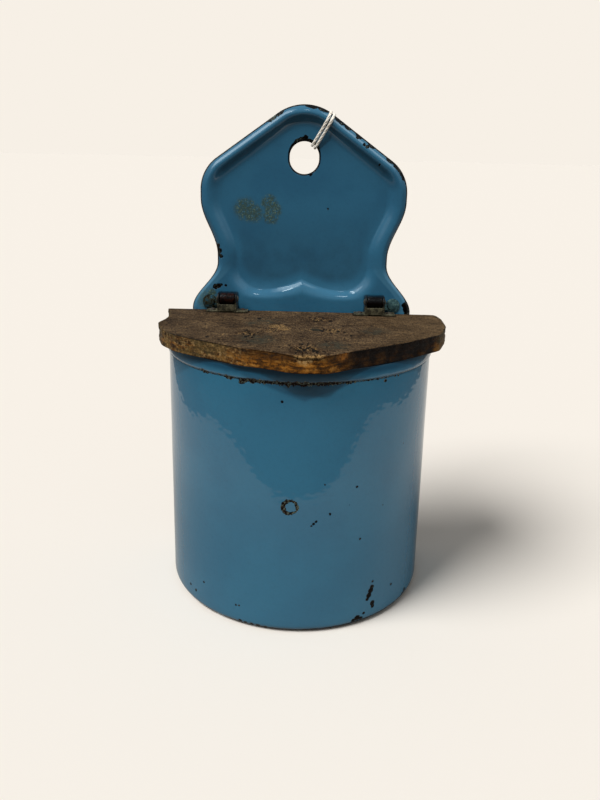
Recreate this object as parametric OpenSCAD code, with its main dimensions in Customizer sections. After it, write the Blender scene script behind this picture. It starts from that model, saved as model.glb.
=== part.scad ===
// Wall salt box: an enamelled sheet-steel tub and back plate with a hinged wooden lid.
// Millimetres. The front faces -Y, the wall is at +Y, and the tub stands on Z = 0.
// The origin is on the floor, in the middle of the tub's round front.

/* [Tub] */
// Outer radius of the round front of the tub
tub_r = 70; // [62:1:80]
// Distance from the wall to the middle of the round front
tub_axis = 20; // [16:1:26]
// Height of the tub, from the floor to the top of its rim
tub_h = 138.3; // [110:0.1:170]
// Outer radius of the tub's two rear corners
corner_r = 8; // [6:0.5:11]
// Thickness of the enamelled sheet steel
sheet = 1; // [0.8:0.1:1.4]
// Radius of the edge between the tub's wall and its floor
base_r = 4; // [3:0.5:5.5]
// Height of the rolled rim
rim_h = 6.5; // [5:0.5:9]
// How far the rolled rim stands proud of the wall
rim_out = 0.8; // [0.5:0.1:1.2]

/* [Back plate] */
// Height of the plate's peak above the tub's rim
plate_rise = 118.3; // [105:0.1:135]
// Greatest width of the plate, across its shoulders
plate_w = 111.4; // [102:0.2:120]
// Width of the plate at its neck
neck_w = 93.4; // [86:0.2:100]
// Height of the neck above the tub's rim
neck_up = 36.7; // [33:0.1:42]
// Slope of the plate's roof, below the horizontal
roof_a = 35.5; // [30:0.2:42]
// Radius of the plate's peak
peak_r = 25; // [18:0.5:30]
// Radius of the plate's shoulders
shoulder_r = 21; // [17:0.5:26]
// Height above the rim at which the foot of the plate reaches its full width
foot_up = 8.5; // [6:0.1:12]
// Gap left behind the upper plate, in which the hanging string runs
stand_off = 1.8; // [1.7:0.1:3]
// How far the pressed border stands out from the panel
relief = 3.4; // [2:0.1:5]
// Width of the pressed border, from the plate's edge to the panel
band = 11.5; // [9:0.5:14]
// Width of the rounding along the plate's outer edge
edge_w = 3.2; // [2:0.1:4.5]
// Width of the slope from the border down to the panel
slope_w = 7; // [4.5:0.1:7.5]
// Height of the panel's two lobes above the tub's rim
lobe_up = 20.4; // [17:0.1:24]
// Distance of each lobe from the middle of the plate
lobe_x = 21.5; // [17:0.5:26]
// Height of the cusp between the lobes above their lowest points
cusp_h = 5.2; // [3:0.1:8]
// Height of the lower end of the plate above the floor
tongue_z = 12; // [8:0.5:30]

/* [Hanging hole] */
// Width of the hole
hole_w = 16.4; // [12:0.1:20]
// How much taller than wide the hole is
hole_long = 1.2; // [0.4:0.1:4]
// Depth of the hole's middle below the plate's peak
hole_drop = 27; // [25:0.5:34]

/* [Lid] */
// Thickness of the lid's board
lid_t = 8.5; // [6:0.1:12]
// Gap between the rim and the lid when it is shut
lid_gap = 0.25; // [0.2:0.05:0.6]
// Gap between the lid's back edge and the plate
back_gap = 0.6; // [0.4:0.1:1.2]
// Overhang of the lid's nose past the tub's wall
nose_over = 9.6; // [7.5:0.1:12]
// Overhang of the lid's left back corner past the tub's side
left_over = 5; // [2:0.5:8]
// Overhang of the lid's right back corner past the tub's side
right_over = 4.5; // [2:0.5:8]
// Width of the worn rounding along the board's edges
worn = 0.9; // [0.4:0.1:1.5]

/* [Hinges] */
// Distance of each hinge from the end of the plate's foot
hinge_in = 20.6; // [17:0.1:26]
// Height of the pins above the top of the lid
pin_up = 7.1; // [6.8:0.1:9]
// Distance of the pins in front of the plate's border
pin_out = 5.1; // [4.8:0.1:7]
// Radius of the pins
pin_r = 1.2; // [0.8:0.05:1.5]
// Radial clearance between the pins and the fixed knuckles
pin_play = 0.05; // [0.03:0.01:0.1]
// Outer radius of the fixed knuckles
knuckle_r = 3.1; // [2.6:0.1:3.3]
// Width of the fixed knuckles
knuckle_w = 8; // [6:0.1:10]
// Outer radius of the two ears of each leaf
ear_r = 3.3; // [2.9:0.1:3.6]
// Gap between a knuckle and the ears on both sides of it
ear_gap = 0.3; // [0.2:0.05:0.6]
// Thickness of the hinges' strip steel
strip = 1; // [0.7:0.1:1.1]
// Width of the leaf that lies on the lid
leaf_w = 22.5; // [19:0.5:26]
// Distance of a bracket's rivet from the middle of its knuckle, towards the outside
rivet_x = 10.4; // [9:0.1:13]
// Height of the rivets above the top of the lid
rivet_up = 4.45; // [4.4:0.05:6]
// Radius of the round eye at the end of each bracket
eye_r = 3.9; // [3.4:0.05:4]
// Radius of the rivets' shanks
rivet_r = 1.1; // [0.8:0.05:1.4]
// Distance of the nails from the middle of their leaf
nail_x = 8.2; // [7.4:0.1:9]
// Radius of the nails' shanks
nail_r = 0.8; // [0.6:0.05:1]
// Length of the nails below the leaf
nail_l = 6.5; // [4:0.1:7]

/* [Hanging string] */
// Diameter of the string
string_d = 1.6; // [1.4:0.1:1.8]

/* [Hidden] */
$fn = 96;

enamel = "#3f86b3";
ground_coat = "#241f20";
old_wood = "#6b5340";
rusty_steel = "#6f6a58";
cotton = "#e6dfd0";

// Levels in Y, from the wall forwards
back_y = tub_axis - sheet;
edge_level = sheet + stand_off;
border_level = edge_level + relief;
border_y = tub_axis - border_level;

// The tub's plan is a round front and a flat back, joined by two rounded corners
flat_x = sqrt(pow(tub_r - corner_r, 2) - pow(back_y - corner_r, 2));
corner_y = back_y - corner_r;
join_a = atan2(corner_y, flat_x);

// Heights on the plate
plate_z = tub_h + plate_rise;
neck_z = tub_h + neck_up;
neck_half_l = 0.05 * neck_up;
foot_z = tub_h + foot_up;
joggle_z = tub_h + 0.3 * sheet;
joggle_rise = 2 * edge_w;
wide_l = 0.2 * shoulder_r;
hole_z = plate_z - hole_drop;

// Lid and hinges
lid_z = tub_h + lid_gap;
lid_top = lid_z + lid_t;
hinge_x = flat_x - hinge_in;
lid_back_y = border_y - back_gap;
pin_y = border_y - pin_out;
pin_z = lid_top + pin_up;
rivet_z = lid_top + rivet_up;
ear_x = knuckle_w / 2 + ear_gap;
pin_head_r = 1.6 * pin_r;
pin_head_l = 0.75 * pin_r;
rivet_head_r = 2.36 * rivet_r;
rivet_head_h = 0.6 * rivet_r;
nail_head_r = 2.1 * nail_r;
leaf_corner_r = 1.5 * strip;
bridge_r = knuckle_r + 1.5 * ear_gap;
bridge_drop = sqrt(max(0, pow(bridge_r, 2) - pow(ear_r - strip, 2)));

// Points along an arc in the plane of the plate
function arc(middle, r, from, to, n) =
  [for (i = [0:n]) let (a = from + (to - from) * i / n) middle + r * [cos(a), sin(a)]];

// A smooth step from 0 to 1
function ease(t) = (1 - cos(180 * t)) / 2;

// Where the roof's slope meets the shoulder's arc
roof_end = [peak_r * sin(roof_a), plate_z - peak_r + peak_r * cos(roof_a)];
shoulder_x = plate_w / 2 - shoulder_r;
shoulder_z = roof_end.y - (shoulder_r + (shoulder_x - roof_end.x) * sin(roof_a)) / cos(roof_a);
wide_z = shoulder_z - wide_l;

// Right half of the plate's outline, set in by d, from the peak to the neck
function upper_edge(d) = concat(
  arc([0, plate_z - peak_r], peak_r - d, 90, 90 - roof_a, 6),
  arc([shoulder_x, shoulder_z], shoulder_r - d, 90 - roof_a, 0, 8),
  [for (i = [0:8]) let (t = i / 8)
    [plate_w / 2 - d - (plate_w - neck_w) / 2 * ease(t), wide_z - (wide_z - neck_z - neck_half_l) * t]]
);

// Right half of the foot, from the neck out to the tub's width and down to its rim
flare_n = 9;
drop_n = 3;
low_n = 9;
foot_edge = concat(
  [for (i = [0:flare_n]) let (t = i / flare_n, from_z = neck_z - neck_half_l)
    [neck_w / 2 + (flat_x - neck_w / 2) * ease(t), from_z - (from_z - foot_z) * t]],
  [for (i = [1:drop_n]) [flat_x, foot_z - (foot_z - joggle_z) * i / drop_n]],
  [for (i = [1:low_n]) [flat_x * (1 - i / low_n), joggle_z]]
);

// Lower edge of the recessed panel: a round corner, a lobe and half of the cusp
panel_x = neck_w / 2 - band;
panel_z = neck_z - 1.5 * neck_half_l;
lobe_z = tub_h + lobe_up;
corner_turn = 66;
function corner_point(a) = [
  lobe_x + (panel_x - lobe_x) * cos(a),
  panel_z - (panel_z - lobe_z) * sin(a)
];
function lobe_height(x) =
  x < lobe_x
    ? lobe_z + cusp_h * pow(1 - x / lobe_x, 1.8)
    : panel_z - (panel_z - lobe_z) * sqrt(1 - pow((x - lobe_x) / (panel_x - lobe_x), 2));
panel_edge = concat(
  [for (i = [0:flare_n + drop_n]) corner_point(corner_turn * i / (flare_n + drop_n))],
  [for (i = [1:low_n]) let (x = corner_point(corner_turn).x * (1 - i / low_n)) [x, lobe_height(x)]]
);

// Level of the sheet's edge and width of its rounding, one for each point of the right half
upper_n = len(upper_edge(0));
half_levels = concat(
  [for (i = [1:upper_n + flare_n + 1]) edge_level],
  [for (i = [1:drop_n]) edge_level - stand_off * i / drop_n],
  [for (i = [1:low_n]) sheet]
);
half_roundings = concat(
  [for (i = [1:upper_n + flare_n + 1]) edge_w],
  [for (i = [1:drop_n]) edge_w + (joggle_rise - edge_w) * i / drop_n],
  [for (i = [1:low_n]) joggle_rise]
);

// The whole way round: the right half, then its mirror image without the two middle points
function around(half, mirrored) =
  concat(half, [for (i = [len(half) - 2:-1:1]) mirrored ? [-half[i].x, half[i].y] : half[i]]);
outer = around(concat(upper_edge(0), foot_edge), true);
inner = around(concat(upper_edge(band), panel_edge), true);
levels = around(half_levels, false);
roundings = around(half_roundings, false);

// Steps across the border: up over the rounded edge, along the border, down to the panel
up_steps = [0, 0.1, 0.3, 0.6, 1];
down_steps = [0, 0.15, 0.35, 0.5, 0.65, 0.85, 1];
ring_n = len(up_steps) + len(down_steps);

// Distance from the outer edge and level of the sheet's face, at ring k of spoke i
function spoke_length(i) = norm(inner[i] - outer[i]);
function ring_distance(k, i) =
  k < len(up_steps)
    ? roundings[i] * up_steps[k]
    : spoke_length(i) - slope_w * (1 - down_steps[k - len(up_steps)]);
function ring_level(k, i) =
  k < len(up_steps)
    ? levels[i] + (border_level - levels[i]) * sin(90 * up_steps[k])
    : border_level - relief * ease(down_steps[k - len(up_steps)]);
function ring_point(k, i, behind) =
  let (p = outer[i] + (inner[i] - outer[i]) * ring_distance(k, i) / spoke_length(i))
  [p.x, tub_axis - ring_level(k, i) + behind, p.y];
function face_points(behind) = concat(
  [for (k = [0:ring_n - 1]) for (i = [0:len(outer) - 1]) ring_point(k, i, behind)],
  [[0, tub_axis - edge_level + behind, neck_z + (plate_z - neck_z) / 2]]
);

module pressed_plate() {
  n = len(outer);
  other = ring_n * n + 1;
  last = (ring_n - 1) * n;
  front = concat(
    [for (k = [0:ring_n - 2]) for (i = [0:n - 1]) let (j = (i + 1) % n, a = k * n, b = (k + 1) * n)
      for (face = [[a + i, a + j, b + j], [a + i, b + j, b + i]]) face],
    [for (i = [0:n - 1]) [ring_n * n, last + i, last + (i + 1) % n]]
  );
  rear = [for (face = front) [face[2] + other, face[1] + other, face[0] + other]];
  rim = [for (i = [0:n - 1]) let (j = (i + 1) % n)
    for (face = [[i, i + other, j + other], [i, j + other, j]]) face];
  polyhedron(concat(face_points(0), face_points(sheet)), concat(front, rear, rim));
}

// The tub's plan, set in by d
module tub_plan(d) {
  r = tub_r - d;
  intersection() {
    circle(r, $fn = 180);
    translate([-r, -r]) square([2 * r, r + r * sin(join_a)]);
  }
  for (side = [-1, 1]) {
    translate([side * flat_x, corner_y]) circle(corner_r - d);
  }
  translate([-flat_x, 0]) square([2 * flat_x, back_y - d]);
}

// Sweeps a profile round the front and the corners; its X = 0 is the wall's outer face
module round_the_front() {
  rotate_extrude(angle = 180 + 2 * join_a, start = 180 - join_a, $fn = 180) translate([tub_r, 0]) children();
  translate([flat_x, corner_y]) {
    rotate_extrude(angle = 90 - join_a, start = join_a) translate([corner_r, 0]) children();
  }
  translate([-flat_x, corner_y]) {
    rotate_extrude(angle = 90 - join_a, start = 90) translate([corner_r, 0]) children();
  }
}

// Sweeps the same profile along the flat back
module along_the_back() {
  translate([-flat_x, back_y, 0]) rotate([90, 0, 90]) linear_extrude(2 * flat_x) children();
}

// The straight wall, with the rim rolled outwards round the top of it
module rim_profile() {
  translate([-sheet, base_r]) square([sheet, tub_h - base_r]);
  translate([0, tub_h - rim_h + rim_out]) square([rim_out, rim_h - 2 * rim_out]);
  for (z = [tub_h - rim_out, tub_h - rim_h + rim_out]) {
    translate([0, z]) circle(rim_out);
  }
}

// Behind, the wall ends just below the rim
module wall_profile() {
  translate([-sheet, base_r]) square([sheet, tub_h - rim_out - base_r]);
}

module tub_wall() {
  color(enamel) {
    round_the_front() rim_profile();
    along_the_back() wall_profile();
  }
}

// A quarter of a ring, from the wall's foot round to the floor
module base_edge() {
  translate([-base_r, base_r]) {
    intersection() {
      difference() {
        circle(base_r);
        circle(base_r - sheet);
      }
      translate([0, -base_r]) square(base_r);
    }
  }
}

module tub_base() {
  color(enamel) {
    round_the_front() base_edge();
    along_the_back() base_edge();
    linear_extrude(sheet) tub_plan(base_r);
  }
}

// The flat lower end of the plate, which lies between the tub and the wall
module tongue() {
  translate([0, tub_axis, 0]) rotate([90, 0, 0]) linear_extrude(sheet) {
    translate([-flat_x, tongue_z + corner_r]) square([2 * flat_x, joggle_z - tongue_z - corner_r]);
    translate([-flat_x + corner_r, tongue_z]) square([2 * (flat_x - corner_r), corner_r]);
    for (side = [-1, 1]) {
      translate([side * (flat_x - corner_r), tongue_z + corner_r]) circle(corner_r);
    }
  }
}

module hanging_hole() {
  r = hole_w / 2;
  depth = 4 * border_level;
  translate([0, tub_axis + border_level, hole_z]) rotate([90, 0, 0]) {
    for (up = [-1, 1]) {
      translate([0, up * hole_long / 2, 0]) cylinder(r = r, h = depth);
    }
    translate([-r, -hole_long / 2, 0]) cube([hole_w, hole_long, depth]);
  }
}

module back_plate() {
  color(enamel) difference() {
    union() {
      pressed_plate();
      tongue();
    }
    hanging_hole();
    for (side = [-1, 1]) rivet_shank(side);
  }
}

// One bracket: a knuckle round the pin, a web back to the plate and a riveted eye
module hinge_bracket(side) {
  color(ground_coat) difference() {
    union() {
      translate([side * hinge_x - knuckle_w / 2, pin_y, pin_z]) rotate([0, 90, 0]) {
        cylinder(r = knuckle_r, h = knuckle_w);
      }
      translate([side * hinge_x - knuckle_w / 2, pin_y, pin_z - knuckle_r]) {
        cube([knuckle_w, border_y - pin_y, strip]);
      }
      translate([0, border_y, 0]) rotate([90, 0, 0]) linear_extrude(strip) {
        translate([side * (hinge_x + rivet_x), rivet_z]) circle(eye_r);
        translate([side * (hinge_x + rivet_x / 2 - knuckle_w / 4), pin_z - knuckle_r - strip / 2]) {
          square([rivet_x + knuckle_w / 2, 3 * strip], center = true);
        }
      }
    }
    translate([side * hinge_x - knuckle_w, pin_y, pin_z]) rotate([0, 90, 0]) {
      cylinder(r = pin_r + pin_play, h = 2 * knuckle_w);
    }
    rivet_shank(side);
  }
}

// From the head of the rivet to its clenched end behind the plate
module rivet_shank(side) {
  translate([side * (hinge_x + rivet_x), border_y + sheet, rivet_z]) rotate([90, 0, 0]) {
    cylinder(r = rivet_r, h = sheet + strip, $fn = 48);
  }
}

module bracket_rivets() {
  color(rusty_steel) for (side = [-1, 1]) {
    rivet_shank(side);
    translate([side * (hinge_x + rivet_x), border_y - strip, rivet_z]) rotate([90, 0, 0]) {
      domed_head(rivet_head_r, rivet_head_h);
    }
    translate([side * (hinge_x + rivet_x), border_y + sheet, rivet_z]) rotate([-90, 0, 0]) {
      domed_head(rivet_head_r, rivet_head_h);
    }
  }
}

// A low dome of radius r and height h on Z = 0
module domed_head(r, h) {
  ball_r = (r * r + h * h) / (2 * h);
  rotate_extrude($fn = 48) intersection() {
    translate([0, h - ball_r]) circle(ball_r, $fn = 180);
    square([r, h]);
  }
}

// The lid's hand-cut outline: degrees from the front, and overhang as a share of the nose's
lid_cuts = [
  [-95, 0.24], [-86, 0.03], [-79, 0.2], [-73, 0.65], [-62, 0.77], [-52, 0.65], [-42, 0.38], [-31, 0.19],
  [-22, 0.35], [-13, 0.35], [-5, 0.56], [1, 0.86], [7, 1], [20, 0.33], [31, 0.15], [45.5, 0.26], [55, 0.44],
  [65, 0.83], [78, 0.81], [92, 0.68]
];

// The lid's outline, set in by d
function lid_outline(d) = concat(
  [[-(tub_r + left_over - d), lid_back_y - d]],
  [for (cut = lid_cuts) (tub_r + cut[1] * nose_over - d) * [sin(cut[0]), -cos(cut[0])]],
  [[tub_r + right_over - d, lid_back_y - d]]
);

// Set-in and height of each level of the board, from its underside to its top
board_levels = [[worn / 2, 0], [0, worn / 2], [0, lid_t - worn], [worn / 3, lid_t - worn / 3], [worn, lid_t]];

module board() {
  n = len(lid_outline(0));
  top = len(board_levels) - 1;
  points = concat(
    [for (level = board_levels) for (p = lid_outline(level[0])) [p.x, p.y, lid_z + level[1]]],
    [[0, 0, lid_z], [0, 0, lid_top]]
  );
  sides = [for (k = [0:top - 1]) for (i = [0:n - 1]) let (j = (i + 1) % n, a = k * n, b = (k + 1) * n)
    for (face = [[a + i, b + i, b + j], [a + i, b + j, a + j]]) face];
  caps = [for (i = [0:n - 1]) let (j = (i + 1) % n, middle = (top + 1) * n)
    for (face = [[middle, i, j], [middle + 1, top * n + j, top * n + i]]) face];
  polyhedron(points, concat(sides, caps));
}

// The bevel under the back edge lets that edge swing down past the rim
pin_over_rim = pin_z - lid_z;
bevel_w = lid_back_y - pin_y + 0.5;
bevel_h = pin_over_rim - sqrt(pow(pin_over_rim, 2) - pow(bevel_w, 2)) + 0.2;

module lid_board() {
  color(old_wood) difference() {
    board();
    translate([-2 * tub_r, lid_back_y, lid_z]) rotate([90, 0, 90]) linear_extrude(4 * tub_r) {
      polygon([[-bevel_w, 0], [bevel_w, bevel_h * 2], [bevel_w, -bevel_h], [-bevel_w, -bevel_h]]);
    }
    for (side = [-1, 1]) nail_shanks(side, nail_l);
  }
}

module nail_shanks(side, l) {
  for (x = [-nail_x, nail_x]) {
    translate([side * hinge_x + x, pin_y, lid_top - l]) cylinder(r = nail_r, h = l + strip, $fn = 48);
  }
}

module leaf_nails() {
  color(rusty_steel) for (side = [-1, 1]) {
    nail_shanks(side, nail_l);
    for (x = [-nail_x, nail_x]) {
      translate([side * hinge_x + x, pin_y, lid_top + strip]) domed_head(nail_head_r, nail_r);
    }
  }
}

// One leaf: a plate nailed to the lid, bent up in front of the knuckle, with an ear back each side of it
module hinge_leaf(side) {
  plate_d = 2 * ear_r;
  color(rusty_steel) difference() {
    translate([side * hinge_x, pin_y, 0]) {
      translate([0, 0, lid_top]) linear_extrude(strip) {
        square([leaf_w - 2 * leaf_corner_r, plate_d], center = true);
        square([leaf_w, plate_d - 2 * leaf_corner_r], center = true);
        for (x = [-1, 1], y = [-1, 1]) {
          translate([x * (leaf_w / 2 - leaf_corner_r), y * (ear_r - leaf_corner_r)]) circle(leaf_corner_r);
        }
      }
      for (x = [-ear_x - strip, ear_x]) {
        translate([x, 0, pin_z]) rotate([0, 90, 0]) cylinder(r = ear_r, h = strip);
        translate([x, -ear_r, lid_top]) cube([strip, 2 * ear_r, pin_up]);
      }
      translate([-ear_x, -ear_r, lid_top]) cube([2 * ear_x, strip, pin_up - bridge_drop]);
    }
    pin_shank(side);
    nail_shanks(side, strip);
  }
}

module pin_shank(side) {
  l = 2 * (ear_x + strip);
  translate([side * hinge_x - l / 2, pin_y, pin_z]) rotate([0, 90, 0]) cylinder(r = pin_r, h = l);
}

module hinge_pin(side) {
  color(rusty_steel) {
    pin_shank(side);
    for (end = [-1, 1]) {
      translate([side * hinge_x + end * (ear_x + strip), pin_y, pin_z]) rotate([0, end * 90, 0]) {
        domed_head(pin_head_r, pin_head_l);
      }
    }
  }
}

// The string's route: X, distance in front of the wall, and height above the middle of the hole.
// It starts in the knot and goes twice over the edge, down the front and back through the hole.
string_route = [
  [12.6, 3.1, 18.4], [12.8, 2.1, 20.1], [13.1, 1.0, 21.7], [13.9, 1.0, 23.7], [14.1, 2.3, 24.1],
  [14.0, 3.3, 23.9], [13.7, 4.3, 23.4], [13.2, 5.8, 22.5], [12.6, 6.9, 21.4], [12.0, 7.2, 20.2],
  [11.4, 7.2, 18.9], [9.2, 6.1, 15.0], [6.9, 4.9, 11.2], [4.8, 3.9, 7.7], [4.2, 3.5, 6.7],
  [4.0, 2.3, 6.4], [4.2, 1.1, 6.7], [5.0, 0.8, 8.0], [7.4, 0.8, 11.3], [10.4, 0.8, 15.4],
  [13.7, 0.8, 19.4], [15.6, 1.0, 22.5], [15.8, 2.3, 22.9], [15.7, 3.3, 22.7], [15.4, 4.3, 22.2],
  [14.9, 5.8, 21.3], [14.3, 6.9, 20.2], [13.7, 7.2, 19.0], [13.1, 7.2, 17.7], [10.8, 6.1, 13.8],
  [8.4, 4.9, 9.8], [6.3, 3.9, 6.4], [5.7, 3.5, 5.4], [5.5, 2.3, 5.1], [5.7, 1.1, 5.4],
  [6.4, 0.8, 6.6], [8.7, 0.8, 9.6], [11.6, 1.1, 13.9], [13.2, 2.4, 16.6], [12.9, 3.1, 18.1]
];
knot_r = 1.1 * string_d;

function route_point(p) = [p[0], tub_axis - p[1], hole_z + p[2]];
string_path = [for (p = string_route) route_point(p)];
string_sides = 8;

function unit(v) = v / norm(v);
function heading(i) = unit(string_path[min(i + 1, len(string_path) - 1)] - string_path[max(i - 1, 0)]);

// Each ring's first spoke is the last ring's, turned into the new ring's plane
function spoke(i) =
  i == 0
    ? unit(cross(heading(0), [0, 1, 0]))
    : let (v = spoke(i - 1)) unit(v - (v * heading(i)) * heading(i));

module string_tube() {
  n = string_sides;
  m = len(string_path);
  points = concat(
    [for (i = [0:m - 1]) let (u = spoke(i), v = cross(heading(i), u))
      for (s = [0:n - 1]) string_path[i] + string_d / 2 * (u * cos(360 * s / n) + v * sin(360 * s / n))],
    [string_path[0], string_path[m - 1]]
  );
  sides = [for (i = [0:m - 2]) for (s = [0:n - 1]) let (t = (s + 1) % n, a = i * n, b = (i + 1) * n)
    for (face = [[a + s, b + s, b + t], [a + s, b + t, a + t]]) face];
  ends = [for (s = [0:n - 1]) let (t = (s + 1) % n)
    for (face = [[m * n, s, t], [m * n + 1, (m - 1) * n + t, (m - 1) * n + s]]) face];
  polyhedron(points, concat(sides, ends));
}

// Both ends meet in a knot, which lies in the hollow behind the raised border
module hanging_string() {
  color(cotton) {
    string_tube();
    translate(string_path[0]) sphere(knot_r, $fn = 32);
  }
}

tub_wall();
tub_base();
back_plate();
hinge_bracket(-1);  // hinge_bracket_left
hinge_bracket(1);  // hinge_bracket_right
bracket_rivets();
lid_board();
hinge_leaf(-1);  // hinge_leaf_left
hinge_leaf(1);  // hinge_leaf_right
hinge_pin(-1);  // hinge_pin_left
hinge_pin(1);  // hinge_pin_right
leaf_nails();
hanging_string();
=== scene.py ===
import math

import bmesh
import bpy
from mathutils import Matrix, Vector, noise


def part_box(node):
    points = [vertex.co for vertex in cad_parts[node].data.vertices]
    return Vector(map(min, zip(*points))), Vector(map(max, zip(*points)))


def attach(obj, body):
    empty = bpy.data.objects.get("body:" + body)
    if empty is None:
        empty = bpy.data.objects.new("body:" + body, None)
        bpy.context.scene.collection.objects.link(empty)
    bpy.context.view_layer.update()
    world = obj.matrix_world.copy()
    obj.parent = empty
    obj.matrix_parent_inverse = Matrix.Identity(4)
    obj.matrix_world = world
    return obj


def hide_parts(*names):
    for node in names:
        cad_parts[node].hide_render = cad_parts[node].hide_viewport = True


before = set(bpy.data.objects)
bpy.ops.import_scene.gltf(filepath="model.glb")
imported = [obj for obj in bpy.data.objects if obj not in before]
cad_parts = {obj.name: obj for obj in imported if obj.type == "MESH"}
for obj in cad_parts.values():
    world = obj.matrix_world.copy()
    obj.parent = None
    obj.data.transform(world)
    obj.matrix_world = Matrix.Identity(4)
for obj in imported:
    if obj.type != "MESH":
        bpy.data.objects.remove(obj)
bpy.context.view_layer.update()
mm = 0.001  # sizes below are in millimetres


def srgb(red, green, blue):
    values = [c / 255 for c in (red, green, blue)]
    return tuple(c / 12.92 if c < 0.04045 else ((c + 0.055) / 1.055) ** 2.4 for c in values)


def ease(t):
    return (1 - math.cos(math.pi * t)) / 2


def blend(a, b, t):
    return a + (b - a) * t


def within(value, low, high):
    return min(1, max(0, (value - low) / (high - low)))


view = {
    "target": (0, -20, 130),
    "distance": 376.4,
    "elevation": 15.62,
    "azimuth": 0.93,
    "roll": 1.26,
    "focalPixels": 724.2,
    "picture": (600, 800),
    "middle": (298.9, 356.8),  # the pixel that the camera points at
}


def makeCamera(view):
    elevation, azimuth = math.radians(view["elevation"]), math.radians(view["azimuth"])
    back = Vector((
        math.sin(azimuth) * math.cos(elevation),
        -math.cos(azimuth) * math.cos(elevation),
        math.sin(elevation),
    ))
    level = (-back).cross(Vector((0, 0, 1))).normalized()
    upright = level.cross(-back)
    roll = math.radians(view["roll"])
    right = level * math.cos(roll) + upright * math.sin(roll)
    up = upright * math.cos(roll) - level * math.sin(roll)
    data = bpy.data.cameras.new("camera")
    tall = view["picture"][1]
    data.lens = data.sensor_width * view["focalPixels"] / tall
    data.shift_x = (view["picture"][0] / 2 - view["middle"][0]) / tall
    data.shift_y = (view["middle"][1] - tall / 2) / tall
    data.clip_start = 0.01
    cameraObject = bpy.data.objects.new("camera", data)
    bpy.context.collection.objects.link(cameraObject)
    place = Matrix((right, up, back)).transposed().to_4x4()
    place.translation = (Vector(view["target"]) + back * view["distance"]) * mm
    cameraObject.matrix_world = place
    bpy.context.scene.camera = cameraObject


makeCamera(view)
print("camera made")


# a value in a node tree: each operator adds its Math node
class Wire:
    def __init__(self, finish, socket):
        self.finish = finish
        self.socket = socket

    def calc(self, operation, a, b=0.0):
        return self.finish.node("ShaderNodeMath", {"operation": operation}, {0: a, 1: b})

    def __add__(self, other):
        return self.calc("ADD", self, other)

    def __radd__(self, other):
        return self.calc("ADD", other, self)

    def __sub__(self, other):
        return self.calc("SUBTRACT", self, other)

    def __rsub__(self, other):
        return self.calc("SUBTRACT", other, self)

    def __mul__(self, other):
        return self.calc("MULTIPLY", self, other)

    def __rmul__(self, other):
        return self.calc("MULTIPLY", other, self)

    def __pow__(self, other):
        return self.calc("POWER", self, other)

    def __abs__(self):
        return self.calc("ABSOLUTE", self)

    def least(self, other):
        return self.calc("MINIMUM", self, other)

    def most(self, other):
        return self.calc("MAXIMUM", self, other)

    def fade(self, low, high):  # 0 at low, 1 at high, smooth between
        ends = {"Value": self, "From Min": low, "From Max": high}
        return self.finish.node("ShaderNodeMapRange", {"interpolation_type": "SMOOTHSTEP"}, ends)


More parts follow.
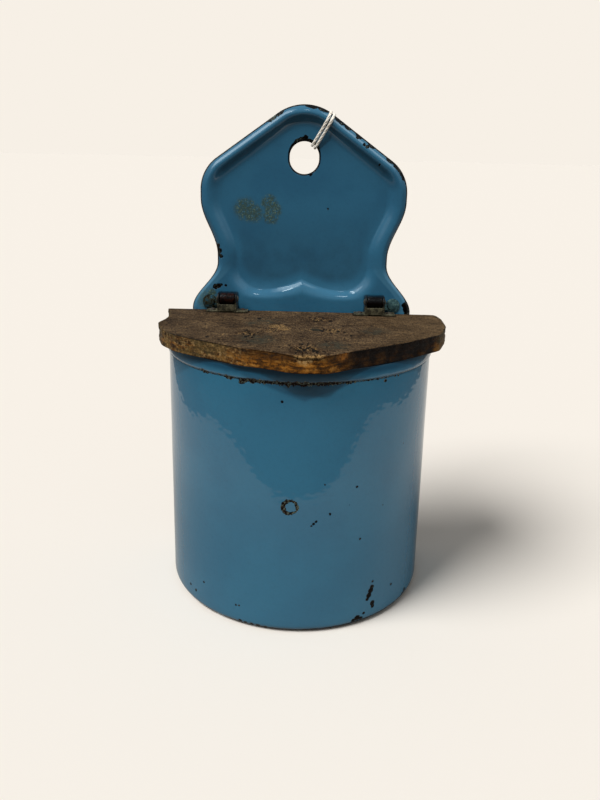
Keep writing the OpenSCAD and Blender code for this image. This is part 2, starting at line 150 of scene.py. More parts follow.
class Finish:
    def __init__(self, name, world=None):
        self.material = world or bpy.data.materials.new(name)
        self.material.use_nodes = True
        self.tree = self.material.node_tree
        self.tree.nodes.clear()
        output = self.tree.nodes.new("ShaderNodeOutputWorld" if world else "ShaderNodeOutputMaterial")
        self.shader = self.tree.nodes.new("ShaderNodeBackground" if world else "ShaderNodeBsdfPrincipled")
        self.tree.links.new(self.shader.outputs[0], output.inputs[0])

    def feed(self, socket, value):
        if isinstance(value, Wire):
            self.tree.links.new(value.socket, socket)
        elif socket.type == "RGBA":
            socket.default_value = (*value[:3], 1)
        else:
            socket.default_value = value

    def node(self, kind, settings, inputs, output=0):
        made = self.tree.nodes.new(kind)
        for key, value in settings.items():
            if key == "stops":
                stops = made.color_ramp.elements
                while len(stops) < len(value):
                    stops.new(0.5)
                for stop, (place, colour) in zip(stops, value):
                    stop.position = place
                    stop.color = (*colour, 1)
            else:
                setattr(made, key, value)
        for key, value in inputs.items():
            self.feed(made.inputs[key], value)
        return Wire(self, made.outputs[output])

    def place(self):  # the point on the piece, in millimetres
        return self.scaled(self.node("ShaderNodeTexCoord", {}, {}, "Object"), 1 / mm)

    def axis(self, vector, name):
        return self.node("ShaderNodeSeparateXYZ", {}, {0: vector}, name)

    def split(self, vector):
        return [self.axis(vector, name) for name in "XYZ"]

    def scaled(self, vector, factor):
        return self.node("ShaderNodeVectorMath", {"operation": "SCALE"}, {0: vector, "Scale": factor})

    def vector(self, operation, first, second, output=0):
        return self.node("ShaderNodeVectorMath", {"operation": operation}, {0: first, 1: second}, output)

    def distance(self, vector, spot):
        return self.vector("DISTANCE", vector, spot, "Value")

    def stretch(self, vector, scale, shift=(0, 0, 0)):
        return self.node("ShaderNodeMapping", {}, {"Vector": vector, "Scale": scale, "Location": shift})

    def grain(self, vector, size, detail=3, rough=0.55, output=0):  # noise with features of that size
        values = {"Vector": vector, "Scale": 1 / size, "Detail": detail, "Roughness": rough}
        return self.node("ShaderNodeTexNoise", {}, values, output)

    def cells(self, vector, size):  # distance to the nearest of scattered points, in millimetres
        return self.node("ShaderNodeTexVoronoi", {}, {"Vector": vector, "Scale": 1 / size}, "Distance") * size

    def wander(self, vector, size, amount):  # the same point, pushed about by noise
        noisy = self.grain(vector, size, 3, 0.5, "Color")
        centred = self.vector("SUBTRACT", noisy, (0.5, 0.5, 0.5))
        return self.vector("ADD", vector, self.scaled(centred, 2 * amount))

    def reach(self, vector, spots):  # distance to the nearest spot, as a share of that spot's radius
        nearest = None
        for x, y, z, radius in spots:
            share = self.distance(vector, (x, y, z)) * (1 / radius)
            nearest = nearest.least(share) if nearest else share
        return nearest

    def mark(self, name):  # a value painted on the piece's points
        return self.node("ShaderNodeAttribute", {"attribute_name": name}, {}, "Fac")

    def mix(self, amount, first, second):
        return self.node("ShaderNodeMix", {"data_type": "RGBA"}, {0: amount, 6: first, 7: second}, 2)

    def layers(self, colour, coats):  # each coat is how much of it shows, and its colour
        for amount, coat in coats:
            colour = self.mix(amount, colour, coat)
        return colour

    def ramp(self, value, stops):
        return self.node("ShaderNodeValToRGB", {"stops": stops}, {0: value}, "Color")

    def bump(self, height):  # in millimetres
        bumps = self.node("ShaderNodeBump", {}, {"Height": height, "Distance": mm})
        self.feed(self.shader.inputs["Normal"], bumps)

    def set(self, **values):
        for key, value in values.items():
            self.feed(self.shader.inputs[key.replace("_", " ")], value)


stage = {
    "backdrop": srgb(247, 240, 230),
    "ambient": 0.23,
    "mirrorTint": (0.86, 1.0, 1.06),
    "room": (0.12, 0.5),  # what gloss mirrors, at the horizon and overhead
    "horizon": (-0.1, 0.6),  # upward part of the direction where the room's tone starts and ends
    # soft windows that only gloss mirrors: degrees to the right of the front, height,
    # half width of the full part and of all, strength
    "windows": [
        (-70, 52, 8, 26, 4.6), (70, 52, 5, 19, 2.6), (-48, 30, 4, 24, 0.6), (48, 30, 4, 24, 0.3),
        (-35, 56, 1.6, 5, 9), (2, 57, 1.6, 5, 8),
    ],
    # what the enamel mirrors: a pale sheet under the box, on a darker table
    "sheet": 0.8,
    "sheetLeft": -338,
    "sheetRight": 390,
    "sheetFront": -214,
    "sheetCorner": 170,
    "table": 0.3,
    "tableRadius": 470,
    "tableBlur": 130,
    "beyond": 0.12,
    "sheetBlur": 4,
    "floorMetres": 40,
    "floorSides": 64,
    "nearShade": (100, 250, 0.33),  # close to the box the sheet is darker: from, to, how much
    # degrees to the right of the front, height, width of the lamp, strength
    "lamps": {
        "leftWindow": (-58, 52, 29, 3.12),
        "rightWindow": (70, 45, 20, 1.3),
        "ceiling": (-4, 57, 4, 2.2),
    },
    "onFloor": ("leftWindow",),
}


def lampWay(side, height):  # the direction towards a lamp
    side, height = math.radians(side), math.radians(height)
    return Vector((math.sin(side) * math.cos(height), -math.cos(side) * math.cos(height), math.sin(height)))


def makeFloor(stage):
    bm = bmesh.new()
    bmesh.ops.create_circle(bm, cap_ends=True, radius=stage["floorMetres"], segments=stage["floorSides"])
    mesh = bpy.data.meshes.new("floor")
    bm.to_mesh(mesh)
    bm.free()
    floor = bpy.data.objects.new("floor", mesh)
    bpy.context.collection.objects.link(floor)
    f = Finish("pale_floor")
    p = f.place()
    x, y = f.axis(p, "X"), f.axis(p, "Y")
    middle = (stage["sheetLeft"] + stage["sheetRight"]) / 2
    overX = abs(x - middle) - (stage["sheetRight"] - middle - stage["sheetCorner"])
    overY = stage["sheetFront"] + stage["sheetCorner"] - y
    corner = (overX.most(0) ** 2 + overY.most(0) ** 2) ** 0.5
    sheet = (corner - stage["sheetCorner"]).fade(stage["sheetBlur"], -stage["sheetBlur"])
    far = f.distance(p, (0, 0, 0))
    table = far.fade(stage["tableRadius"] + stage["tableBlur"], stage["tableRadius"] - stage["tableBlur"])
    mirrored = f.mix(table, (stage["beyond"],) * 3, (stage["table"],) * 3)
    start, end, shade = stage["nearShade"]
    pale = f.mix(far.fade(end, start) * shade, [c * stage["sheet"] for c in stage["backdrop"]], (0, 0, 0))
    mirrored = f.mix(sheet, mirrored, pale)
    seen = f.node("ShaderNodeLightPath", {}, {}, "Is Camera Ray")
    f.set(Base_Color=f.mix(seen, mirrored, stage["backdrop"]), Roughness=0.9, Specular_IOR_Level=0.0)
    mesh.materials.append(f.material)
    return floor


def makeWorld(stage):
    world = bpy.data.worlds.new("studio")
    bpy.context.scene.world = world
    f = Finish("studio", world)
    way = f.node("ShaderNodeTexCoord", {}, {}, "Object")  # on the world this is the direction
    low, high = stage["room"]
    mirrored = f.axis(way, "Z").fade(*stage["horizon"]) * (high - low) + low
    for side, height, inner, outer, strength in stage["windows"]:
        along = f.vector("DOT_PRODUCT", way, lampWay(side, height), "Value")
        rim, core = math.cos(math.radians(outer)), math.cos(math.radians(inner))
        mirrored = mirrored + along.fade(rim, core) * strength
    gloss = f.node("ShaderNodeLightPath", {}, {}, "Is Glossy Ray")
    seen = f.node("ShaderNodeLightPath", {}, {}, "Is Camera Ray")
    light = f.mix(gloss, (stage["ambient"],) * 3, f.scaled(stage["mirrorTint"], mirrored))
    f.set(Color=f.mix(seen, light, stage["backdrop"]))


def makeLamps(stage, floor):
    # the left window casts the one shadow on the floor, the other lamps pass the floor by
    passed = bpy.data.collections.new("litByTheWindowOnly")
    passed.objects.link(floor)
    passed.collection_objects[0].light_linking.link_state = "EXCLUDE"
    for name, (side, height, width, strength) in stage["lamps"].items():
        sun = bpy.data.lights.new(name, "SUN")
        sun.energy = strength
        sun.angle = math.radians(width)
        lamp = bpy.data.objects.new(name, sun)
        lamp.rotation_euler = lampWay(side, height).to_track_quat("Z", "Y").to_euler()
        bpy.context.collection.objects.link(lamp)
        lamp.visible_glossy = False
        if name not in stage["onFloor"]:
            lamp.light_linking.receiver_collection = passed


makeLamps(stage, makeFloor(stage))
makeWorld(stage)
bpy.context.scene.view_settings.view_transform = "Standard"
print("stage made")


def startRing(bm, points):
    ring = [bm.verts.new(Vector(p) * mm) for p in points]
    for a, b in zip(ring, ring[1:] + ring[:1]):
        bm.edges.new((a, b))
    return ring


def capRing(bm, ring):
    bmesh.ops.contextual_create(bm, geom=ring)


def extrudeRing(bm, ring, points, closed=True):
    ends = ring[1:] + ring[:1] if closed else ring[1:]
    edges = [bm.edges.get((a, b)) for a, b in zip(ring, ends)]
    made = bmesh.ops.extrude_edge_only(bm, edges=edges)["geom"]
    fresh = {g for g in made if isinstance(g, bmesh.types.BMVert)}
    following = []
    for old, p in zip(ring, points):
        new = next(e.other_vert(old) for e in old.link_edges if e.other_vert(old) in fresh)
        new.co = Vector(p) * mm
        following.append(new)
    return following


def skinRings(bm, rows):  # a skin through rings of points, closed at both ends
    ring = startRing(bm, rows[0])
    capRing(bm, ring)
    for row in rows[1:]:
        ring = extrudeRing(bm, ring, row)
    capRing(bm, ring)


def circleRound(middle, u, v, radius, count):
    turns = [2 * math.pi * i / count for i in range(count)]
    return [middle + (u * math.cos(a) + v * math.sin(a)) * radius for a in turns]


def resample(corners, spacing):  # points evenly along a closed outline
    out = []
    for a, b in zip(corners, corners[1:] + corners[:1]):
        a, b = Vector(a), Vector(b)
        steps = max(1, round((b - a).length / spacing))
        out += [a.lerp(b, i / steps) for i in range(steps)]
    return out


def finishPiece(bm, name, body, material, replaced, smooth=180):
    bmesh.ops.recalc_face_normals(bm, faces=bm.faces)
    mesh = bpy.data.meshes.new(name)
    bm.to_mesh(mesh)
    bm.free()
    mesh.shade_smooth()
    if smooth < 180:
        mesh.set_sharp_from_angle(angle=math.radians(smooth))
    piece = bpy.data.objects.new(name, mesh)
    bpy.context.collection.objects.link(piece)
    mesh.materials.append(material)
    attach(piece, body)
    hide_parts(*replaced)
    return piece


def dress(node, material):  # a CAD node that keeps its own shape
    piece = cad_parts[node]
    piece.data.materials.clear()
    piece.data.materials.append(material)


enamelColours = {
    "tub": (srgb(34, 88, 112), srgb(32, 84, 108)),
    # the plate's blues are a little darker than the tub's: painted shade
    "plate": (srgb(36, 83, 107), srgb(32, 77, 101)),
    "black": srgb(12, 9, 8),
    "rust": srgb(64, 38, 24),
    "oldSteel": srgb(138, 148, 132),
    "stain": srgb(44, 60, 52),
    "paleStain": srgb(86, 106, 90),
    "inside": srgb(176, 178, 168),
    "insideDirt": srgb(120, 108, 88),
    # the next colour is painted shade and shadow under the lid's nose on the tub
    "greaseAndShade": srgb(6, 40, 60),
    "lowSheen": srgb(72, 118, 140),
}


def enamelCoat(f, p, blues, chips, rustLine, peelDepth):
    # chips and rustLine are 1 where the enamel is gone
    broad = f.grain(p, 38, 3)
    blue = f.mix(broad.fade(0.38, 0.62), *blues)
    blue = f.mix(f.grain(p, 1.6, 3, 0.7).fade(0.45, 0.75) * 0.08, blue, enamelColours["black"])
    fine = f.grain(p, 0.9, 4, 0.7)
    rusty = f.ramp(fine, [
        (0.45, enamelColours["black"]), (0.49, enamelColours["rust"]), (0.53, enamelColours["black"]),
        (0.6, enamelColours["oldSteel"]), (0.65, enamelColours["black"]),
    ])
    bare = chips.most(rustLine)
    grey = rustLine.fade(0.2, 0.8).most(f.grain(p, 3, 2).fade(0.5, 0.6) * 0.55)
    inner = f.mix(grey * 0.9, enamelColours["black"], rusty)
    colour = f.mix(bare, blue, inner)
    peel = f.grain(p, 2.8, 0) * peelDepth + f.grain(p, 9, 2) * 0.06
    f.bump(peel - bare * (0.16 - fine * 0.12))
    f.set(Roughness=bare * 0.4 + 0.035 + broad * 0.02, Metallic=bare * 0.92, IOR=1.55)
    return colour


tubShape = {
    "radius": 70,
    "sheet": 1,
    "backY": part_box("tub_wall")[1][1] / mm,
    "cornerRadius": 8,
    "height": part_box("tub_wall")[1][2] / mm,
    "baseRadius": 4,
    "rimHeight": 6.5,
    "rimOut": 0.8,
    "arcSteps": 220,
    "cornerSteps": 18,
    "backSteps": 40,
    "mostInset": 7.5,  # further in, the floor's rings shrink towards its middle
    "floorY": -20,
    "dents": 0.07,
    "dentSize": (21, 21, 26),
}

tubWear = {
    # angle from the front, height, radius of each chip
    "chips": [
        (8.0, 60.6, 0.8), (8.9, 61.8, 0.7), (7.1, 59.6, 0.6),
        (-5.3, 122.3, 0.8), (25.4, 77.9, 0.7), (11.9, 80.9, 0.5), (14.4, 65.5, 0.8), (27.9, 49.2, 0.7),
        (-51.2, 9.2, 0.9), (-41.3, 16.3, 0.7), (-47.1, 8.1, 1.0), (-23.9, 11.1, 0.7), (-22.5, 11.4, 0.6),
        (47.2, 15.3, 0.9), (59.4, 4.6, 1.3), (57.5, 3.4, 1.0),
        (35.6, 22.6, 0.8), (35.3, 19.4, 1.4), (34.7, 17.6, 1.8), (33.8, 15.2, 1.8), (33.2, 13.2, 1.2),
        (35.9, 9.9, 1.6), (36.1, 7.9, 1.2), (31.6, 5.6, 0.9), (28.4, 4.0, 1.9), (26.6, 2.9, 1.4),
        (30.2, 3.2, 1.2), (-22.0, 2.6, 1.2), (-19.5, 1.9, 1.3), (-16.8, 1.7, 1.5), (-14.0, 1.6, 1.6),
        (-10.8, 1.5, 1.3), (-8.0, 1.7, 1.0),
    ],
    # the same along the line under the rolled rim
    "lineChips": [
        (-40.9, 131.8, 0.9), (-39.3, 131.7, 1.4), (-37.6, 131.5, 1.2), (-34.6, 132.2, 0.7),
        (-30.9, 131.9, 0.9), (-27.6, 131.5, 1.3), (-26.1, 131.0, 1.0), (-25.0, 131.8, 0.8),
        (-20.8, 130.5, 1.5), (-21.6, 129.9, 1.0), (-2.3, 131.1, 1.2), (-2.9, 130.2, 1.0),
        (19.4, 131.2, 1.0), (20.6, 131.3, 1.1), (22.3, 131.4, 0.8), (28.2, 131.3, 0.7),
        (32.6, 131.1, 0.6), (36.5, 129.6, 0.9), (41.6, 130.9, 0.5), (43.6, 130.7, 0.6),
    ],
    "ringAngle": -1.5,
    "ringHeight": 69.4,
    "ringRadius": 3.3,
    "peel": 0.048,  # depth of the orange peel
}


def tubPlan(shape, inset):
    # the D-shaped outline, set in by that much: x, y and the share of the front's rim and dents
    radius, corner = shape["radius"], shape["cornerRadius"]
    backY = shape["backY"]
    cornerX = math.sqrt((radius - corner) ** 2 - (backY - corner) ** 2)
    cornerY = backY - corner
    join = math.atan2(cornerY, cornerX)
    front, turn, back = [], [], []
    for i in range(shape["arcSteps"] + 1):
        a = blend(math.pi - join, 2 * math.pi + join, i / shape["arcSteps"])
        front.append(((radius - inset) * math.cos(a), (radius - inset) * math.sin(a), 1))
    for i in range(1, shape["cornerSteps"] + 1):
        t = i / shape["cornerSteps"]
        a, small = blend(join, math.pi / 2, t), corner - inset
        turn.append((cornerX + small * math.cos(a), cornerY + small * math.sin(a), 1 - ease(t)))
    for i in range(1, shape["backSteps"]):
        back.append((blend(cornerX, -cornerX, i / shape["backSteps"]), backY - inset, 0))
    return front + turn + back + [(-x, y, share) for x, y, share in reversed(turn)]


def tubProfile(shape):
    # inset, height, share of the inset that is the rolled rim, and side: 0 outside, 1 inside
    sheet, edge, top = shape["sheet"], shape["baseRadius"], shape["height"]
    out, rim = shape["rimOut"], shape["rimHeight"]
    rows = [(30, 0, 0, 0), (8, 0, 0, 0), (edge + 1, 0, 0, 0)]
    for i in range(9):
        a = math.pi / 2 * i / 8
        rows.append((edge * (1 - math.sin(a)), edge * (1 - math.cos(a)), 0, 0))
    rows += [(0, z, 0, 0) for z in range(8, 130, 4)]
    rows += [(0, top - rim - 0.5, 0, 0), (0, top - rim - 0.12, 0, 0)]
    rows += [(0, top - rim, 0.15, 0), (0, top - rim + 0.1, 0.6, 0), (0, top - rim + 0.4, 0.9, 0)]
    rows += [(0, top - rim + 1, 1, 0), (0, top - rim * 0.6, 1.06, 0), (0, top - rim * 0.35, 1, 0)]
    for i in range(1, 7):
        a = math.pi / 2 * i / 6
        rows.append((0.05 * math.sin(a), top - 0.9 + 0.9 * math.sin(a), math.cos(a) * 0.95, 0))
    rows += [(0.5, top - 0.05, 0, 0.3), (0.85, top - 0.3, 0, 0.8), (sheet, top - 0.7, 0, 1)]
    rows += [(sheet, z, 0, 1) for z in range(132, 5, -6)]
    inner = edge - sheet
    for i in range(6):
        a = math.pi / 2 * (1 - i / 5)
        rows.append((edge - inner * math.sin(a), edge - inner * math.cos(a), 0, 1))
    rows += [(8, sheet, 0, 1), (30, sheet, 0, 1)]
    return [(inset, z, bulge * out, side) for inset, z, bulge, side in rows]


def makeTub(shape, material):
    bm = bmesh.new()
    inside = bm.verts.layers.float.new("inside")
    radius, (wide, deep, tall) = shape["radius"], shape["dentSize"]
    ring = None
    for inset, z, bulge, side in tubProfile(shape):
        points = []
        for x, y, front in tubPlan(shape, min(inset, shape["mostInset"])):
            dent = noise.noise(Vector((x / wide, y / deep, z / tall)))
            if inset > shape["mostInset"]:
                x, y = x * (1 - inset / radius), blend(y, shape["floorY"], inset / radius)
            push = 1 + (bulge * front + shape["dents"] * dent * front * (1 - side)) / radius
            points.append((x * push, y * push, z))
        if ring:
            ring = extrudeRing(bm, ring, points)
        else:
            ring = startRing(bm, points)
            capRing(bm, ring)
        for vert in ring:
            vert[inside] = side
    capRing(bm, ring)
    finishPiece(bm, "tub", "box", material, ("tub_wall", "tub_base"))


def onTub(angle, z, radius):
    a = math.radians(angle)
    return (tubShape["radius"] * math.sin(a), -tubShape["radius"] * math.cos(a), z, radius)


def tubEnamel():
    f = Finish("blue_enamel_tub")
    p = f.place()
    x, y, z = f.split(p)
    ragged = f.wander(p, 1.6, 0.55)
    chips = f.reach(ragged, [onTub(*chip) for chip in tubWear["chips"]]).fade(1.0, 0.8)
    # a worn ring, left by something that rubbed on the front
    ringSpot = onTub(tubWear["ringAngle"], tubWear["ringHeight"], 1)
    rubbed = f.distance(f.wander(p, 3, 0.9), ringSpot[:3])
    heavy = x.fade(ringSpot[0] + 3, ringSpot[0] - 3) * 0.45
    band = abs(rubbed - tubWear["ringRadius"]) - 0.22 - heavy - f.grain(p, 2.4, 3, 0.7).fade(0.4, 0.6) * 0.5
    ring = band.fade(0.16, -0.05)
    # the chipped line under the rolled rim, heaviest below the lid's nose
    lineZ = tubShape["height"] - tubShape["rimHeight"] - 0.55
    lineChips = f.reach(ragged, [onTub(*chip) for chip in tubWear["lineChips"]]).fade(1.1, 0.8)
    middle = x.fade(-32, -20) * x.fade(30, 16)
    gone = f.grain(f.stretch(p, (1, 1, 0.15)), 2.6, 4, 0.75)  # breaks the line up
    ends = x.fade(-58, -48) * x.fade(52, 36)
    wide = 0.1 + middle * 0.62 + gone.fade(0.46, 0.66) * (0.35 + middle * 0.5)
    away = abs(z - lineZ + (f.grain(p, 4, 3) - 0.5))
    line = (away - wide).fade(0.12, -0.1) * y.fade(-6, -26) * (gone.fade(0.42, 0.5) * ends + middle).least(1)
    thin = (abs(z - lineZ - 0.3) - 0.3).fade(0.35, 0.0) * y.fade(0, -20) * (0.35 + middle * 0.4)
    line = line.most(lineChips).most(thin)
    pinholes = f.cells(p, 13).fade(0.42, 0.3) * f.grain(p, 30, 1).fade(0.5, 0.56)
    # along the foot the black ground coat shows through
    foot = (z - 1.1 - f.grain(p, 3, 4, 0.7) * 1.6).fade(0.5, -0.3) * f.grain(p, 12, 3).fade(0.36, 0.5)
    spots = chips.most(pinholes).most(foot * 0.9)
    colour = enamelCoat(f, p, enamelColours["tub"], spots, line.most(ring), tubWear["peel"])
    # painted shade under the lid's nose, and the nose's painted shadow under the rim line
    front = y.fade(-20, -60)
    greasyAndShaded = (z + f.grain(p, 9, 3) * 2).fade(lineZ + 2.2, lineZ + 6) * front
    noseShadow = (abs(x - 4) * (1 / 25) + (lineZ - z) * (1 / 9)).fade(1.05, 0.8) * front
    dark = (greasyAndShaded * 0.75).most(noseShadow * 0.5 * (1 - line))
    colour = f.mix(dark, colour, enamelColours["greaseAndShade"])
    dirt = f.grain(p, 20, 4).fade(0.42, 0.75) * 0.6
    coats = [(dirt, enamelColours["insideDirt"]), (chips, enamelColours["black"])]
    inner = f.layers(enamelColours["inside"], coats)
    f.set(Base_Color=f.mix(f.mark("inside"), colour, inner))
    return f.material


makeTub(tubShape, tubEnamel())
print("tub made")


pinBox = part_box("hinge_pin_right")
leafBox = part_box("hinge_leaf_right")
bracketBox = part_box("hinge_bracket_right")
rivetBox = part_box("bracket_rivets")
hingeShape = {
    "x": (pinBox[0][0] + pinBox[1][0]) / 2 / mm,
    "pinY": (leafBox[0][1] + leafBox[1][1]) / 2 / mm,
    "pinZ": (pinBox[0][2] + pinBox[1][2]) / 2 / mm,
    "borderY": bracketBox[1][1] / mm,
    "lidTop": leafBox[0][2] / mm,
    "strip": 1,
    "knuckleRadius": 3.1,
    "knuckleWidth": 8,
    "earRadius": 3.3,
    "earX": 4.3,
    "leafWidth": 22.5,
    "bridgeDrop": 2.75,
    "rivetX": 10.4,
    "rivetZ": (rivetBox[0][2] + rivetBox[1][2]) / 2 / mm,
    "eyeRadius": 3.9,
    "rivetRadius": 2.6,
    "rivetHeight": 0.5,
    "nailX": 8.2,
    "nailRadius": 1.68,
    "nailHeight": 0.8,
}


plateShape = {
    "top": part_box("back_plate")[1][2] / mm,
    "wallY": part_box("back_plate")[1][1] / mm,
    "width": 111.4,
    "neckWidth": 93.4,
    "neckZ": 175,
    "neckHalf": 1.8,
    "roofAngle": 35.5,
    "peakRadius": 25,
    "shoulderRadius": 21,
    "footX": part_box("back_plate")[1][0] / mm,
    "footZ": 146.8,
    "foldZ": 138.6,
    "foldRise": 6.4,
    "bottomZ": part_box("back_plate")[0][2] / mm,
    "bottomRadius": 8,
    "sheet": 1,
    "standOff": 1.8,
    "relief": 3.4,
    "band": 11.5,
    "edgeWidth": 3.2,
    "roofMore": 0.7,  # the crest lies that much further in along the roof
    "slopeWidth": 8.4,
    "slopeTurns": (0.8, 0.28),  # where the slope is steepest: at the lobes, below the roof
    "turnZ": (196, 222),
    "lobeX": 21.5,
    "lobeZ": 158.7,
    "cusp": 6.2,
    "cornerTurn": 66,
    "hole": (0, 229.6),
    "holeRadius": 7.85,
    "holeLong": 0.6,
    "steelShare": 0.92,  # the visible skin's thickness as a share of the sheet
    "edgeSoft": 0.34,
    "edgeTurn": 50,  # edges sharper than these degrees are softened
}


def arcPoints(middle, radius, start, end, steps):
    out = []
    for i in range(steps + 1):
        a = math.radians(blend(start, end, i / steps))
        out.append((middle[0] + radius * math.cos(a), middle[1] + radius * math.sin(a)))
    return out


roofSteps, flareSteps, dropSteps, lowSteps = 18, 30, 8, 44


def upperEdge(s, inset):
    slope = math.radians(s["roofAngle"])
    peak = (0, s["top"] - s["peakRadius"])
    roofEnd = (s["peakRadius"] * math.sin(slope), peak[1] + s["peakRadius"] * math.cos(slope))
    shoulderX = s["width"] / 2 - s["shoulderRadius"]
    drop = s["shoulderRadius"] + (shoulderX - roofEnd[0]) * math.sin(slope)
    shoulderZ = roofEnd[1] - drop / math.cos(slope)
    wideZ = shoulderZ - 0.2 * s["shoulderRadius"]
    top = arcPoints(peak, s["peakRadius"] - inset, 90, 90 - s["roofAngle"], roofSteps)
    corner = arcPoints((shoulderX, shoulderZ), s["shoulderRadius"] - inset, 90 - s["roofAngle"], 0, 24)
    (topX, topZ), (cornerX, cornerZ) = top[-1], corner[0]
    shares = [i / roofSteps for i in range(1, roofSteps)]
    roof = [(blend(topX, cornerX, t), blend(topZ, cornerZ, t)) for t in shares]
    waist = []
    for i in range(31):
        x = s["width"] / 2 - inset - (s["width"] - s["neckWidth"]) / 2 * ease(i / 30)
        waist.append((x, blend(wideZ, s["neckZ"] + s["neckHalf"], i / 30)))
    return top + roof + corner + waist


def footEdge(s):
    startZ = s["neckZ"] - s["neckHalf"]
    out = []
    for i in range(flareSteps + 1):
        t = i / flareSteps
        out.append((blend(s["neckWidth"] / 2, s["footX"], ease(t)), blend(startZ, s["footZ"], t)))
    out += [(s["footX"], blend(s["footZ"], s["foldZ"], i / dropSteps)) for i in range(1, dropSteps + 1)]
    out += [(s["footX"] * (1 - i / lowSteps), s["foldZ"]) for i in range(1, lowSteps + 1)]
    return out


def panelEdge(s):
    panelX = s["neckWidth"] / 2 - s["band"]
    panelZ = s["neckZ"] - 1.5 * s["neckHalf"]
    lobeX, lobeZ = s["lobeX"], s["lobeZ"]
    out = []
    for i in range(flareSteps + dropSteps + 1):
        a = math.radians(s["cornerTurn"] * i / (flareSteps + dropSteps))
        out.append((blend(lobeX, panelX, math.cos(a)), blend(panelZ, lobeZ, math.sin(a))))
    lastX = out[-1][0]
    for i in range(1, lowSteps + 1):
        x = lastX * (1 - i / lowSteps)
        if x < lobeX:
            z = lobeZ + s["cusp"] * (1 - x / lobeX) ** 1.8
        else:
            z = panelZ - (panelZ - lobeZ) * math.sqrt(1 - ((x - lobeX) / (panelX - lobeX)) ** 2)
        out.append((x, z))
    return out


def bothSides(half):
    return half + [(-x, z) for x, z in half[-2:0:-1]]


def holeEdge(s, towards):
    # the point of the oval hole's edge on the way to another point of the plate
    dx, dz = towards[0] - s["hole"][0], towards[1] - s["hole"][1]
    size = math.hypot(dx, dz)
    dx, dz = dx / size, dz / size
    reach = s["holeRadius"] + s["holeLong"] * abs(dz)
    return (s["hole"][0] + dx * reach, s["hole"][1] + dz * reach)


def makePlate(s, material):
    upper = upperEdge(s, 0)
    outer = bothSides(upper + footEdge(s))
    inner = bothSides(upperEdge(s, s["band"]) + panelEdge(s))
    flat = len(upper) + flareSteps + 1
    edgeLevel, borderLevel = s["sheet"] + s["standOff"], s["sheet"] + s["standOff"] + s["relief"]
    half = [(edgeLevel, s["edgeWidth"] + s["roofMore"] * within(z, *s["turnZ"])) for x, z in outer[:flat]]
    for i in range(1, dropSteps + 1):
        t = i / dropSteps
        half.append((edgeLevel - s["standOff"] * t, blend(s["edgeWidth"], s["foldRise"], t)))
    half += [(s["sheet"], s["foldRise"])] * lowSteps
    levels = half + half[-2:0:-1]
    bm = bmesh.new()
    rim = bm.verts.layers.float.new("rim")
    gap = bm.verts.layers.float.new("gap")
    upSteps = [0, 0.06, 0.14, 0.24, 0.36, 0.5, 0.66, 0.82, 1]
    downSteps = [i / 22 for i in range(1, 23)]
    ring = None
    rings = []

    def addRing(points, rimValues, gapValues=None):
        nonlocal ring
        places = [(x, s["wallY"] - level, z) for x, z, level in points]
        ring = startRing(bm, places) if ring is None else extrudeRing(bm, ring, places)
        rings.append(ring)
        for i, vert in enumerate(ring):
            vert[rim] = rimValues[i]
            vert[gap] = gapValues[i] if gapValues else 9

    def pressed(share, z):  # share of the relief that is lost
        turn = blend(*s["slopeTurns"], within(z, *s["turnZ"]))
        return share ** 2 / turn if share < turn else 1 - (1 - share) ** 2 / (1 - turn)

    def spoke(i, distance):
        (x0, z0), (x1, z1) = outer[i], inner[i]
        t = distance / math.hypot(x1 - x0, z1 - z0)
        return blend(x0, x1, t), blend(z0, z1, t)

    count = range(len(outer))
    length = [math.hypot(inner[i][0] - outer[i][0], inner[i][1] - outer[i][1]) for i in count]
    for t in upSteps:
        points = []
        for i in count:
            low, width = levels[i]
            points.append((*spoke(i, width * t), blend(low, borderLevel, math.sin(math.pi / 2 * t))))
        addRing(points, [levels[i][1] * t for i in count])
    for t in downSteps:
        starts = [blend(levels[i][1], length[i], t) for i in count]
        slopes = [min(length[i] - levels[i][1], s["slopeWidth"]) for i in count]
        shares = [max(0, 1 - (length[i] - starts[i]) / slopes[i]) for i in count]
        lost = [s["relief"] * pressed(shares[i], inner[i][1]) for i in count]
        points = [(*spoke(i, starts[i]), borderLevel - lost[i]) for i in count]
        addRing(points, [min(9, start) for start in starts])
    hole = [holeEdge(s, p) for p in inner]
    for t in (0.12, 0.26, 0.42, 0.58, 0.72, 0.84, 0.92, 0.97, 1):
        points = []
        for a, b in zip(inner, hole):
            points.append((blend(a[0], b[0], t), blend(a[1], b[1], t), edgeLevel))
        gaps = [math.hypot(x - b[0], z - b[1]) for (x, z, _), b in zip(points, hole)]
        addRing(points, [12] * len(inner), gaps)
    # the flat lower part goes down behind the tub
    first = rings[0]
    start = flat + dropSteps - 1
    fold = first[start:start + 2 * lowSteps + 1]
    foot = [vert.co.x / mm for vert in fold]
    rows = [(z, 1) for z in (134, 120, 100, 80, 60, 40, 28)]
    corner = s["bottomRadius"]
    for i in range(9):
        a = math.pi / 2 * i / 8
        rows.append((s["bottomZ"] + corner * (1 - math.sin(a)), 1 - corner * (1 - math.cos(a)) / s["footX"]))
    for z, share in rows:
        fold = extrudeRing(bm, fold, [(x * share, s["wallY"] - s["sheet"], z) for x in foot], closed=False)
        for vert, x in zip(fold, foot):
            vert[rim] = min(s["footX"] - abs(x), z - s["bottomZ"])
            vert[gap] = 9
    plate = finishPiece(bm, "plate", "box", material, ("back_plate",))
    thick = plate.modifiers.new("thickness", "SOLIDIFY")
    thick.thickness = s["sheet"] * s["steelShare"] * mm
    thick.offset = -1
    soft = plate.modifiers.new("softEdges", "BEVEL")
    soft.width = s["edgeSoft"] * mm
    soft.segments = 3
    soft.limit_method = "ANGLE"
    soft.angle_limit = math.radians(s["edgeTurn"])


